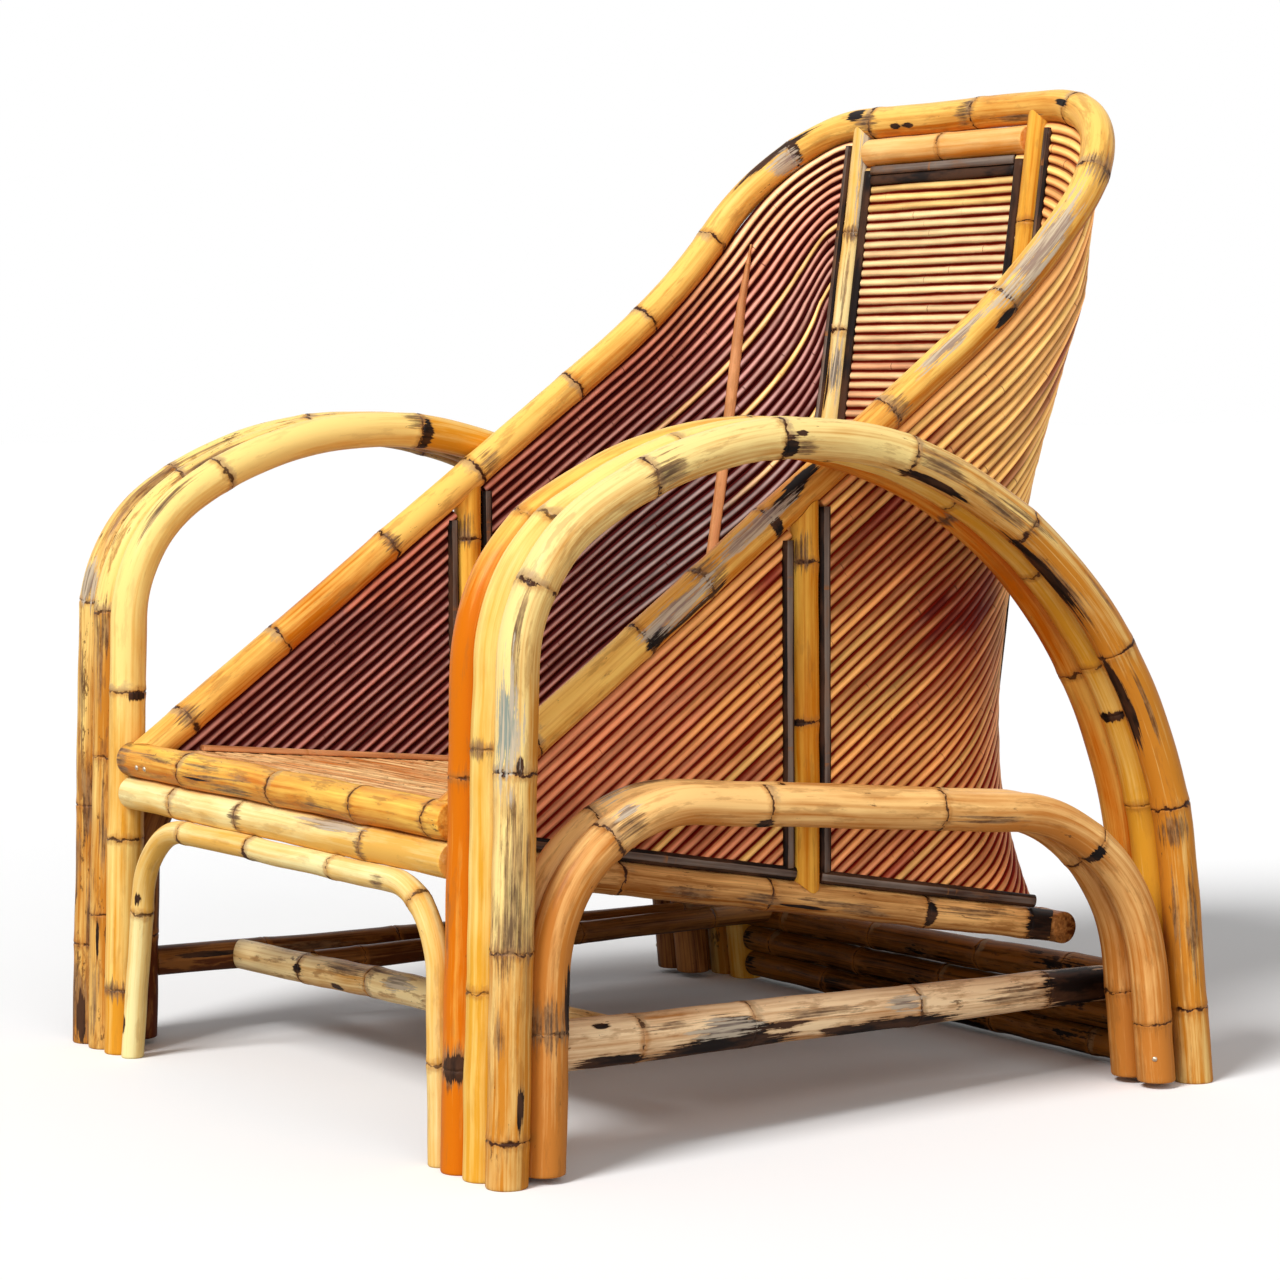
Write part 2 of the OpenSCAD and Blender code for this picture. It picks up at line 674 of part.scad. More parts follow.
module back_post(side) {
    difference() {
        back_post_body(side, 0);
        rail_across(rim_top_y, rim_top_z, rim_top_half + 20, rim_r + fit);
        back_rail_body(fit);
    }
}

module back_crossbar() {
    difference() {
        rail_across(back_y(crossbar_z), crossbar_z, back_post_x, crossbar_d / 2);
        for (side = SIDES) back_post_body(side, fit);
    }
}

module back_panel_reeds() {
    for (k = [0:panel_reeds])
        let (p = back_point(0, panel_top) - k * reed_pitch * post_dir)
            rail_across(p[1], p[2], post_inner, reed_r);
}

// Straight reeds of the front field, mitred by the rim, the rail and the side post
module front_field_outline() {
    y_end = side_post_y - post_gap;
    rim_drop = (rim_r + fit) / cos(rim_slope);
    rail_rise = (rail_r + fit) / cos(shell_rail_fall);
    y_tip = front_rail_y + front_r + fit;
    polygon([[y_tip, side_rail_z(y_tip) + rail_rise], [y_end, side_rail_z(y_end) + rail_rise],
             [y_end, rim_z(y_end) - rim_drop], [y_tip, rim_z(y_tip) - rim_drop]]);
}

module front_reeds(side) {
    deepest = (side_post_y - rim_start[0]) * sin(rim_slope)
              + (rim_start[1] - side_rail_z(side_post_y)) * cos(rim_slope);
    side_view(side * rim_x)
        intersection() {
            translate([0, 0, -reed_r]) linear_extrude(height = reed_d) front_field_outline();
            for (k = [0:floor((deepest - rail_r - first_reed) / reed_pitch)])
                translate(rim_start + (first_reed + k * reed_pitch) * [sin(rim_slope), -cos(rim_slope)])
                    rotate([0, 90, rim_slope]) cylinder(h = rim_side, r = reed_r);
        }
}

// A tube of few sides swept through points of the wall, flat or round in section
function wall_frame(line, i) =
    let (n = len(line), p = line[i],
         a = line[max(0, i - 1)], b = line[min(n - 1, i + 1)],
         t = unit(wall_point(b[0], b[1]) - wall_point(a[0], a[1])),
         out = wall_normal(p[0], p[1]), across = unit(cross(out, t)))
    [wall_point(p[0], p[1]), unit(cross(t, across)), across];

module wall_sweep(line, section, thins = false) {
    m = len(section);
    n = len(line);
    rings = [for (i = [0:n - 1]) let (f = wall_frame(line, i), k = thins ? reed_share(line[i][1]) : 1)
                 for (q = k * section) f[0] + q[0] * f[1] + q[1] * f[2]];
    sides = [for (i = [0:n - 2], j = [0:m - 1])
                 let (a = i * m + j, b = i * m + (j + 1) % m)
                     for (face = [[a, b, b + m], [a, b + m, a + m]]) face];
    last = (n - 1) * m;
    ends = [for (j = [1:m - 2]) for (face = [[0, j + 1, j], [last, last + j, last + j + 1]]) face];
    polyhedron(rings, concat(sides, ends));
}

reed_section = [for (a = [0:90:270]) reed_r * [cos(a), sin(a)]];

module wrapped_reeds(side) {
    mirrored(side)
        for (k = [0:field_reeds])
            let (line = trimmed(reed_line(k)))
                if (len(line) > 1) wall_sweep(line, reed_section, true);
}

// Pointed strip on the inside of the corner, over the line where the reeds are joined
strip_z0 = mat_back_z + edge_strip_w + 4;
strip_z1 = 806;
strip_steps = 8;
function strip_s(z) = arc_start(shoulder_z) + shoulder_r * 0.6 - (shoulder_z - z) * 0.2;

module corner_strip(side) {
    inner = -reed_r - fit;
    half = corner_strip_w / 2;
    line = [for (i = [0:strip_steps])
                let (z = strip_z0 + (strip_z1 - strip_z0) * i / strip_steps) [strip_s(z), z]];
    mirrored(side)
        wall_sweep(line, [[inner, -half], [inner, half], [inner - corner_strip_t, half * 0.5],
                          [inner - corner_strip_t, -half * 0.5]]);
}

// A half-round bead from a to b whose flat side faces the way of the vector back
module bead(a, b, back) {
    v = b - a;
    length = norm(v);
    translate(a) multmatrix(frame_matrix(unit(v), unit(back)))
        intersection() {
            cylinder(h = length, r = bead_r);
            translate([-bead_d, -bead_d, -1]) cube([bead_d, 2 * bead_d, length + 2]);
        }
}
function frame_matrix(w, u) =
    let (v = cross(w, u))
    [[u[0], v[0], w[0], 0], [u[1], v[1], w[1], 0], [u[2], v[2], w[2], 0], [0, 0, 0, 1]];

// Upright beads beside the side post and sloping beads along the side rail
module side_beads(side, face, with_floor) {
    x = side * (rim_x + face * bead_off);
    back = [-side * face, 0, 0];
    y1 = side_post_y - post_gap - bead_r;
    y2 = side_post_y + post_gap + bead_r;
    rise = (rail_r + fit + bead_r) / cos(shell_rail_fall);
    drop = (rim_r + fit + bead_r) / cos(rim_slope);
    for (y = [y1, y2])
        bead([x, y, side_rail_z(y) + rise + bead_r + bead_gap], [x, y, rim_z(y) - drop - bead_r], back);
    if (with_floor) {
        y_in = front_rail_y + front_r + 40;
        for (run = [[y_in, y1 + bead_r], [y2 - bead_r, back_rail_y - 25]])
            bead([x, run[0], side_rail_z(run[0]) + rise], [x, run[1], side_rail_z(run[1]) + rise], back);
    }
}

// Beads along both sides of a back post
module post_bead(side, x, face, z0, z1) {
    off = face * back_out;
    bead(back_point(side * x, z0) + bead_off * off, back_point(side * x, z1) + bead_off * off, -off);
}

module outer_beads(side) {
    side_beads(side, 1, true);
    post_bead(side, back_post_x + back_post_d / 2 + fit + bead_r, 1,
              back_rail_z + rail_r + 2, rim_top_z - rim_r - 6);
}

// Inside, the bead at a back post follows the drawn-in corner
module inner_beads(side) {
    z0 = mat_back_z + 8;
    z1 = rim_top_z - rim_r - 6;
    side_beads(side, -1, false);
    mirrored(side)
        wall_sweep([for (i = [0:10]) let (z = z0 + (z1 - z0) * i / 10) [field_end(z) - bead_r - fit, z]],
                   [for (a = [90:-36:-90]) [-bead_off - bead_r * cos(a), bead_r * sin(a)]]);
}

module panel_beads(face) {
    x = post_inner - bead_r;
    z1 = panel_top - bead_r;
    z0 = face < 0 ? mat_back_z + 8 : panel_bottom + bead_r;
    off = face * back_out;
    top = bead_off * off;
    for (side = SIDES) post_bead(side, x, face, z0, z1 + bead_r);
    bead(back_point(-x + bead_r + fit, z1) + top, back_point(x - bead_r - fit, z1) + top, -off);
}

color(TAN) placed() arm_pole(1, 2);  // arm_pole_outer_left
color(CREAM) placed() arm_pole(1, 1);  // arm_pole_middle_left
color(ORANGE) placed() arm_pole(1, 0);  // arm_pole_inner_left
color(TAN) placed() arm_pole(-1, 2);  // arm_pole_outer_right
color(TAN) placed() arm_pole(-1, 1);  // arm_pole_middle_right
color(CREAM) placed() arm_pole(-1, 0);  // arm_pole_inner_right
color(TAN) placed() side_hoop(1, 1);  // side_hoop_outer_left
color(TAN) placed() side_hoop(1, 0);  // side_hoop_inner_left
color(TAN) placed() side_hoop(-1, 1);  // side_hoop_outer_right
color(TAN) placed() side_hoop(-1, 0);  // side_hoop_inner_right
color(TAN) placed() side_stretcher_left();
color(BROWN) placed() side_stretcher_right();
color(TAN) placed() front_stretcher();
color(BROWN) placed() brace_stretcher();
color(DARK) placed() rear_stretcher(0, 0);  // rear_stretcher_low
color(DARK) placed() rear_stretcher(1, 0);  // rear_stretcher_middle
color(MAROON) placed() rear_stretcher(2, 0);  // rear_stretcher_top
color(ORANGE) placed() front_rail_body(0);  // seat_front_rail
color(CREAM) placed() under_rail_body(0);  // under_front_rail
color(CREAM) placed() front_hoop();
color(BROWN) placed() seat_mat();
color(BROWN) placed() seat_ledger(1);  // seat_ledger_left
color(BROWN) placed() seat_ledger(-1);  // seat_ledger_right
color(BROWN) placed() seat_bearer(1);  // seat_bearer_1
color(BROWN) placed() seat_bearer(2);  // seat_bearer_2
color(BROWN) placed() seat_bearer(3);  // seat_bearer_3
color(BROWN) placed() seat_bearer(4);  // seat_bearer_4
color(REED) placed() seat_edge_strip(1);  // seat_edge_strip_left
color(REED) placed() seat_edge_strip(-1);  // seat_edge_strip_right
color(TAN) placed() rim_pole();
color(BROWN) placed() shell_side_rail(1);  // shell_side_rail_left
color(BROWN) placed() shell_side_rail(-1);  // shell_side_rail_right
color(BROWN) placed() back_rail_body(0);  // shell_back_rail
color(ORANGE) placed() side_post(1);  // side_post_left
color(ORANGE) placed() side_post(-1);  // side_post_right
color(ORANGE) placed() back_post(1);  // back_post_left
color(ORANGE) placed() back_post(-1);  // back_post_right
color(ORANGE) placed() back_crossbar();
color(REED) placed() back_panel_reeds();
color(REED) placed() front_reeds(1);  // front_reeds_left
color(MAROON) placed() front_reeds(-1);  // front_reeds_right
color(REED) placed() wrapped_reeds(1);  // wrapped_reeds_left
color(MAROON) placed() wrapped_reeds(-1);  // wrapped_reeds_right
color(REED) placed() corner_strip(1);  // corner_strip_left
color(REED) placed() corner_strip(-1);  // corner_strip_right
color(DARK) placed() outer_beads(1);  // outer_beads_left
color(DARK) placed() outer_beads(-1);  // outer_beads_right
color(DARK) placed() inner_beads(1);  // inner_beads_left
color(DARK) placed() inner_beads(-1);  // inner_beads_right
color(DARK) placed() panel_beads(-1);  // panel_beads_front
color(DARK) placed() panel_beads(1);  // panel_beads_rear
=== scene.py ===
import bpy
import numpy as np
from mathutils import Matrix


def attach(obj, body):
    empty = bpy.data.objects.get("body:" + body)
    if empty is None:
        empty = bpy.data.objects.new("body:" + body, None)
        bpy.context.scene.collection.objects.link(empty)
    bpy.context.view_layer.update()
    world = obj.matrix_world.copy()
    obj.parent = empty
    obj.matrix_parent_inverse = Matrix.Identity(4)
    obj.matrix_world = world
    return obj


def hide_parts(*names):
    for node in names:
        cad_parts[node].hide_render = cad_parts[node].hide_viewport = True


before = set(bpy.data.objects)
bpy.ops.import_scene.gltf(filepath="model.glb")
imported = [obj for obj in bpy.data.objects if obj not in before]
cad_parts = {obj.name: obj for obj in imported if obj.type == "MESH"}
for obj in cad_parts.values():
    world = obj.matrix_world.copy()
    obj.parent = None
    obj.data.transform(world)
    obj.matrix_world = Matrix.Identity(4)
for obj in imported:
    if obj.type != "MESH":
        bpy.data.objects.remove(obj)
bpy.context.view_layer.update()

# ---- Camera ---------------------------------------------------------------
# The photographer stands off the sitter's left front corner, a little above
# the seat, with a long lens; the picture is square.
FRONT_FEET = 396.4205      # mm from the chair's middle to the axis of the front feet
PICTURE, FOCAL, SENSOR = 1280.0, 3572.311, 36.0      # picture and focal length in pixels, sensor in mm
eye = (2874.17, -1527.29, 670.44)
azimuth, pitch, roll = np.radians([56.1078, 4.28896, -0.34975])


def to_frame(points):
    """Points measured in mm from the front feet, as metres in the model's frame."""
    return (np.asarray(points, float) - [0.0, FRONT_FEET, 0.0]) / 1000.0


def unit(v):
    """Vectors divided by their lengths."""
    return v / np.linalg.norm(v, axis=-1, keepdims=True)


def placed(name, data, x, y, z, place=(0, 0, 0)):
    """Stands a camera or lamp in the scene: its own axes and its place are the columns of its matrix."""
    thing = bpy.data.objects.new(name, data)
    bpy.context.scene.collection.objects.link(thing)
    columns = np.eye(4)
    columns[:3] = np.stack([x, y, z, place], 1)
    thing.matrix_world = Matrix(columns.tolist())
    return thing


forward = np.array([-np.sin(azimuth) * np.cos(pitch), np.cos(azimuth) * np.cos(pitch), -np.sin(pitch)])
level = np.array([np.cos(azimuth), np.sin(azimuth), 0.0])
upright = np.cross(level, forward)
camera = bpy.data.cameras.new("camera")
camera.sensor_width = SENSOR
camera.lens = SENSOR * FOCAL / PICTURE
camera.clip_start, camera.clip_end = 0.1, 50.0
bpy.context.scene.camera = placed("camera", camera, np.cos(roll) * level + np.sin(roll) * upright,
                                  np.cos(roll) * upright - np.sin(roll) * level, -forward, to_frame(eye))

# ---- Arm poles ------------------------------------------------------------
# Three thick canes side by side make each arm. Each is steamed and bent from
# the floor at the front, over the arm and down to the floor at the back.
ARM_R, PITCH, ARM_X = 18.0, 36.3, 326.0      # radius, step to the next pole, inner pole from the middle
HAIR = 0.3                                   # mm left between canes that lie against each other


def bent_path(start, heading, runs):
    """A pole bent in one plane: straight runs are (length, 0), bends are (radius, turn in degrees), each
    tangent to the last. After d of a straight run the place is start + d (cos a0, sin a0), and of a bend
    start + r (sin a - sin a0, cos a0 - cos a) with a = a0 + d / r. Gives the length, and the place by
    length; past its ends the pole goes straight on."""
    def walk(place, angle, r, d):
        line = place + d[..., None] * np.array([np.cos(angle), np.sin(angle)])
        if r == 0:
            return line
        a = angle + d / r
        arc = place + r * np.stack([np.sin(a) - np.sin(angle), np.cos(angle) - np.cos(a)], -1)
        return np.where((d < 0)[..., None], line, arc)

    spans, place, angle, length = [], np.array(start, float), np.radians(heading), 0.0
    for size, degrees in runs:
        r = np.sign(degrees) * size
        spans.append((length, place, angle, r))
        reach = size * np.radians(abs(degrees)) if degrees else size
        place, angle, length = walk(place, angle, r, np.array([reach]))[0], angle + np.radians(degrees), length + reach
    spans.append((length, place, angle, 0.0))

    def at(s):
        s = np.asarray(s, float)
        out = walk(*spans[0][1:], s)
        for first, place, angle, r in spans[1:]:
            out = np.where((s >= first)[..., None], walk(place, angle, r, s - first), out)
        return out
    return length, at


def side_plane(flat, x):
    """A path of the side view, set at the distance x from the chair's middle."""
    return lambda s: np.concatenate([np.full(np.shape(s) + (1,), float(x)), flat(s)], -1)


def straight(a, b):
    """A run from a to b: its length, and the place a + s (b - a) / length."""
    a, b = np.array(a, float), np.array(b, float)
    length = np.linalg.norm(b - a)
    return length, lambda s: a + np.asarray(s, float)[..., None] * (b - a) / length


def part_of(run, skip, stop=0.0):
    """A run without its first and last millimetres: the place at s + skip."""
    length, path = run
    return length - skip - stop, lambda s: path(s + skip)


def foot_length(flat, length, height):
    """Where a bent pole's last stretch comes down to a height, tried every 0.05 mm."""
    trial = np.linspace(length - 260, length, 5201)
    return trial[np.abs(flat(trial)[:, 1] - height).argmin()]


def slow_wave(rng, s, size, shortest=60.0, longest=400.0, count=5):
    """A sum of a few sines of random length and phase: the small wander of a grown cane."""
    lengths = rng.uniform(shortest, longest, count)
    phases = rng.uniform(0, 2 * np.pi, count)
    return size * np.sin(s[:, None] * 2 * np.pi / lengths + phases).sum(1) / np.sqrt(count)


def make(name, tubes, look, node=None):
    """One piece from closed tubes. A tube is its rings of points in mm, joined by quads and closed by a flat
    face at each end, and its values by name: one for all, one per ring or per place round it, or vectors.
    The piece gets its material and hangs from the root body, and the model's part for the frame's node that it stands
    for is hidden."""
    verts, quads, caps, values, first = [], [], [], {}, 0
    for points, fields in tubes:
        rows, columns = points.shape[:2]
        i, j = first + np.arange(rows - 1)[:, None] * columns, np.arange(columns)
        k = (j + 1) % columns
        quads.append(np.stack([i + j, i + k, i + columns + k, i + columns + j], -1).reshape(-1, 4))
        caps += [first + j[::-1], first + (rows - 1) * columns + j]
        verts.append(points.reshape(-1, 3))
        for key, value in fields.items():
            value = value if np.ndim(value) == 3 else np.broadcast_to(value, (rows, columns))[..., None]
            values.setdefault(key, []).append(value.reshape(-1, value.shape[-1]))
        first += rows * columns
    quads = np.concatenate(quads)
    sizes = np.concatenate([np.full(len(quads), 4), [len(cap) for cap in caps]])
    corners = np.concatenate([quads.ravel()] + caps)
    mesh = bpy.data.meshes.new(name)
    mesh.vertices.add(first)
    mesh.vertices.foreach_set("co", to_frame(np.concatenate(verts)).ravel())
    mesh.loops.add(len(corners))
    mesh.loops.foreach_set("vertex_index", corners.astype(np.int32))
    mesh.polygons.add(len(sizes))
    mesh.polygons.foreach_set("loop_start", (np.cumsum(sizes) - sizes).astype(np.int32))
    mesh.polygons.foreach_set("use_smooth", np.arange(len(sizes)) < len(quads))
    mesh.update(calc_edges=True)
    for key, parts in values.items():
        value = np.concatenate(parts).astype(np.float32)
        kind, field = {1: ("FLOAT", "value"), 3: ("FLOAT_VECTOR", "vector"),
                       4: ("FLOAT_COLOR", "color")}[value.shape[1]]
        mesh.attributes.new(key, kind, "POINT").data.foreach_set(field, value.ravel())
    piece = bpy.data.objects.new(name, mesh)
    bpy.context.scene.collection.objects.link(piece)
    mesh.materials.append(look)
    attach(piece, "root")
    if node:
        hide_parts(node)


def square_to(tangent, way):
    """Unit vectors square to a path: the way less its share along the tangent, and their cross product."""
    out = unit(way - (way * tangent).sum(-1, keepdims=True) * tangent)
    return out, np.cross(tangent, out)


def around(out, across, theta):
    """For each place along a cane and each turn round it, out cos(turn) + across sin(turn)."""
    return np.cos(theta)[:, None] * out[:, None] + np.sin(theta)[:, None] * across[:, None]


def grain(first, second, s):
    """The straightened cane's own coordinates in metres, two across it and one along."""
    return np.stack(np.broadcast_arrays(first, second, s[:, None]), -1) / 1000.0


def ring_gaps(s, rings):
    """Metres from the last growth ring, and to the next one, both 0 at a ring."""
    edges = np.concatenate([[-900.0], rings, [s.max() + 900.0]])
    past = s - edges[np.searchsorted(edges, s, side="right") - 1]
    ahead = edges[np.searchsorted(edges, s, side="left")] - s
    return {"past": past[:, None] / 1000.0, "ahead": ahead[:, None] / 1000.0}


def nearness(marks, s, theta):
    """The highest 1 - hypot(distance / half length, turn / half turn) over the marks, at least -1."""
    place, degrees, half, half_turn = np.reshape(np.array(marks, float), (-1, 4)).T
    sweep = (np.degrees(theta)[:, None] - degrees + 180) % 360 - 180
    return (1 - np.hypot(((s[:, None] - place) / half)[:, None], sweep / half_turn)).max(-1, initial=-1.0)


def floor_cut(points, tangent, away, depth=14.0):
    """Moves the last rings along the pole until they lie level, so that the foot stands flat. The shift is
    (the ring's mean height - height) / the tangent's fall, fading out over the depth."""
    share = np.clip(1 - away / depth, 0, 1)[:, None]
    slope = np.where(share > 0, tangent[:, 2:], 1.0)
    shift = (points[..., 2].mean(1, keepdims=True) - points[..., 2]) / slope * share
    return points + shift[..., None] * tangent[:, None]


def saddle_cut(points, tangent, away, place, axis, radius, depth=30.0):
    """Moves the last rings along the pole until the end sits round another pole. The end ring's
    distance to that pole's axis is made its radius: a quadratic in the shift for each point."""
    place, axis = np.array(place, float), unit(np.array(axis, float))
    end = np.argmin(away)
    t, d = tangent[end], points[end] - place
    d_flat, t_flat = d - (d @ axis)[:, None] * axis, t - (t @ axis) * axis
    a, b, c = t_flat @ t_flat, d_flat @ t_flat, (d_flat ** 2).sum(1) - radius ** 2
    shift = ((1 if end == 0 else -1) * np.sqrt(np.maximum(b * b - a * c, 0)) - b) / a
    share = np.clip(1 - away / depth, 0, 1)[:, None]
    return points + (share * shift)[..., None] * tangent[:, None]


def cane(node, run, radius, look, slot, seed, rings=(), ends=("cut", "cut"), up=(1, 0, 0), thick_end=None,
         sides=36, shades=((0, 0),), stray=0, scorch=(), bloom=(), smoke=()):
    """A grown cane swept along a run. The radius goes evenly to thick_end, times 1 + a small wave, with a
    ridge of 0.7 mm and a fine groove at each growth ring, a slight oval and a small wander. Rings are
    lengths in mm from the start, else they fall by chance. Each end is cut square, level with the floor, or
    round another pole. Scorch, bloom and smoke are marks, each (length, turn in degrees, half length, half
    turn); stray is how many more fall by chance. Its skin reads grain, past and ahead, the nearness to the
    marks, and its tone: a shade for each joint plus the shades along it, plus a painted light and shade,
    paler on the side that faces the front-left lamp, up and to the front, and deeper on the side away from it."""
    rng = np.random.default_rng(seed)
    length, path = run
    if len(rings) == 0:
        rings = np.cumsum(rng.uniform(115, 185, 40)) - rng.uniform(20, 90)
        rings = rings[(rings > 12) & (rings < length - 12)]
    rings = np.array(rings, float)
    at_rings = (rings[:, None] + [-6, -3, -1.6, -0.8, 0, 0.8, 1.6, 3, 6]).ravel()
    at_ends = np.array([0.5, 1.6, 4.0])
    s = np.concatenate([np.linspace(0, length, int(length / 7.0) + 2), at_rings, at_ends, length - at_ends])
    s = np.unique(np.round(s[(s >= 0) & (s <= length)], 2))
    tangent = unit(path(s + 0.5) - path(s - 0.5))
    out, across = square_to(tangent, up(s, tangent) if callable(up) else np.array(up, float))
    hold = np.clip(np.minimum(s, length - s) / 60.0, 0, 1)
    centre = path(s) + out * (slow_wave(rng, s, 0.4) * hold)[:, None]
    centre = centre + across * (slow_wave(rng, s, 0.4) * hold)[:, None]
    size = (radius + ((thick_end or radius) - radius) * s / length) * (1 + slow_wave(rng, s, 0.006, 40, 160))
    near = np.abs(s[:, None] - rings).min(1)
    size = size + 0.7 * np.exp(-(near / 7.0) ** 2) - 0.75 * np.exp(-(near / 0.9) ** 2)
    both_ends = ((ends[0], s), (ends[1], length - s))
    for kind, away in both_ends:
        if isinstance(kind, str):
            size = size - np.interp(away, [0, 0.5, 1.6], [1.3, 0.45, 0.0])
    theta = np.arange(sides) * 2 * np.pi / sides
    oval = 1 + 0.008 * np.cos(2 * theta + rng.uniform(0, 6))
    ring_out = around(out, across, theta)
    points = centre[:, None] + (size[:, None] * oval)[..., None] * ring_out
    for kind, away in both_ends:
        if kind == "floor":
            points = floor_cut(points, tangent, away)
        elif not isinstance(kind, str):
            points = saddle_cut(points, tangent, away, *kind)
    tone_and_painted_light = rng.normal(0, 0.4, len(rings) + 1)[np.searchsorted(rings, s)] + np.interp(s, *np.array(shades, float).T)
    # Painted light and shade: the side that faces the front-left lamp is made paler, the side away from it deeper.
    tone_and_painted_light = tone_and_painted_light[:, None] + 0.8 * (ring_out @ unit(np.array([0.2, -0.5, 0.8])) - 0.45)
    marks = {"scorch": list(scorch), "bloom": list(bloom), "smoke": list(smoke)}
    kinds = rng.choice(["scorch", "smoke", "smoke", "smoke"], stray)
    chance = [rng.uniform(low, high, stray) for low, high in ((0, length), (0, 360), (14, 60), (8, 26))]
    for kind, *mark in zip(kinds, *chance):
        marks[kind].append(mark)
    fields = {kind: nearness(places, s, theta) for kind, places in marks.items()}
    own = grain(size[:, None] * np.cos(theta), size[:, None] * np.sin(theta), s)
    make(node + "_cane", [(points, dict(fields, **ring_gaps(s, rings), tone_and_painted_light=tone_and_painted_light, grain=own))], look, node)


class Wiring:
    """Short words for laying shader nodes in a tree."""

    def __init__(self, tree):
        self.tree = tree

    def fill(self, node, inputs):
        """Each named input of the node is linked to an output, or set to a number, a vector or a colour."""
        for label, value in dict(inputs).items():
            socket = node.inputs[label]
            if hasattr(value, "is_output"):
                self.tree.links.new(value, socket)
            else:
                socket.default_value = (*value, 1) if socket.type == "RGBA" else value

    def add(self, kind, inputs=(), **settings):
        """A new node with its settings and inputs."""
        node = self.tree.nodes.new(kind)
        for key, value in settings.items():
            setattr(node, key, value)
        self.fill(node, inputs)
        return node

    def calc(self, operation, *values, clamp=False):
        """One Math node of one to three values."""
        return self.add("ShaderNodeMath", enumerate(values), operation=operation, use_clamp=clamp).outputs[0]

    def times(self, a, b, plus=0.0, clamp=False):
        """a b + plus."""
        return self.calc("MULTIPLY_ADD", a, b, plus, clamp=clamp)

    def sway(self, field, size, base=0.0):
        """base + size (field - 0.5)."""
        return self.times(self.calc("SUBTRACT", field, 0.5), size, base)

    def blend(self, share, a, b, kind="MIX"):
        """a (1 - share) + b share, or another way of mixing colours."""
        return self.add("ShaderNodeMix", {0: share, 6: a, 7: b}, data_type="RGBA", blend_type=kind).outputs[2]

    def step(self, value, low, high, start=0.0, end=1.0):
        """A smooth step from start to end as the value goes from low to high."""
        return self.add("ShaderNodeMapRange", enumerate((value, low, high, start, end)),
                        interpolation_type="SMOOTHSTEP").outputs[0]

    def cloud(self, vector, across, along, detail, rough):
        """Noise on the grain: this many spots per metre across it and along it."""
        spread = self.add("ShaderNodeVectorMath", {0: vector, 1: (across, across, along)}, operation="MULTIPLY")
        return self.add("ShaderNodeTexNoise", {"Vector": spread.outputs[0], "Scale": 1.0, "Detail": detail,
                                               "Roughness": rough}, noise_dimensions="3D").outputs["Fac"]

    def read(self, name, output="Fac"):
        """A value that the mesh carries."""
        return self.add("ShaderNodeAttribute", attribute_name=name).outputs[output]

    def from_ring(self, jag):
        """The distance to the nearest growth ring, shifted by a jag: min(|past + jag|, |ahead - jag|)."""
        return self.calc("MINIMUM", self.calc("ABSOLUTE", self.calc("ADD", self.read("past"), jag)),
                         self.calc("ABSOLUTE", self.calc("SUBTRACT", self.read("ahead"), jag)))


def new_skin(name, **inputs):
    """A shader group with the given sockets, colours or numbers, that puts out Color, Roughness and Height."""
    group = bpy.data.node_groups.new(name, "ShaderNodeTree")
    kinds = {True: "NodeSocketColor", False: "NodeSocketFloat"}
    for label, default in inputs.items():
        many = isinstance(default, tuple)
        socket = group.interface.new_socket(label, in_out="INPUT", socket_type=kinds[many])
        socket.default_value = (*default, 1) if many else default
    for label in ("Color", "Roughness", "Height"):
        group.interface.new_socket(label, in_out="OUTPUT", socket_type=kinds[label == "Color"])
    w = Wiring(group)
    return group, w, w.add("NodeGroupInput").outputs


def new_look(name):
    """A material, the wiring of its tree, and its Principled shader."""
    material = bpy.data.materials.new(name)
    material.use_nodes = True
    return material, Wiring(material.node_tree), material.node_tree.nodes["Principled BSDF"]


def varnished(name, skin, values, bump, depth, coat_rough, gloss=0.1):
    """Cane or reed under a thin glossy coat: the skin's colour and roughness, its height as a bump."""
    material, w, shader = new_look(name)
    group = w.add("ShaderNodeGroup", node_tree=skin)
    w.fill(group, values)
    relief = w.add("ShaderNodeBump", {"Strength": bump, "Distance": depth, "Height": group.outputs["Height"]})
    w.fill(shader, {"Base Color": group.outputs["Color"], "Roughness": group.outputs["Roughness"],
                    "Normal": relief.outputs["Normal"], "Specular IOR Level": gloss, "Coat Weight": 0.03,
                    "Coat Roughness": coat_rough})
    return material


# Cane skin: long fibres, pale and deep stripes, slow drifts of colour, small flecks, a dark broken
# line with a brown edge at each growth ring, burnt patches, smoked streaks, and grey bark. Pale and deep
# are mixed by the tone, which carries a painted light and shade.
cane_skin, w, given = new_skin("cane_skin", Pale=(0.88, 0.60, 0.24), Deep=(0.58, 0.26, 0.06), Flecks=0.4,
                               Fibres=0.5, Ring=0.9, Burnt=0.0, Seed=0.0, Bark=(0.21, 0.16, 0.13))
own = w.add("ShaderNodeVectorMath", {0: w.read("grain", "Vector"), 1: given["Seed"]}, operation="ADD").outputs[0]
fibres, fine = w.cloud(own, 480, 8, 4, 0.6), w.cloud(own, 1500, 30, 3, 0.6)
broad, drift = w.cloud(own, 22, 5, 3, 0.5), w.cloud(own, 60, 13, 4, 0.6)
stripe = w.cloud(own, 230, 3.5, 2, 0.5)
value = 0.5
for field, size in ((fibres, given["Fibres"]), (fine, 0.5), (broad, 1.8), (drift, 1.1), (stripe, 1.6)):
    value = w.sway(field, size, value)
color = w.blend(w.times(w.read("tone_and_painted_light"), 0.5, value, clamp=True), given["Deep"], given["Pale"])
streaks, spots = w.cloud(own, 420, 14, 4, 0.62), w.cloud(own, 150, 48, 6, 0.68)
limit = w.times(given["Flecks"], -0.16, 0.74)
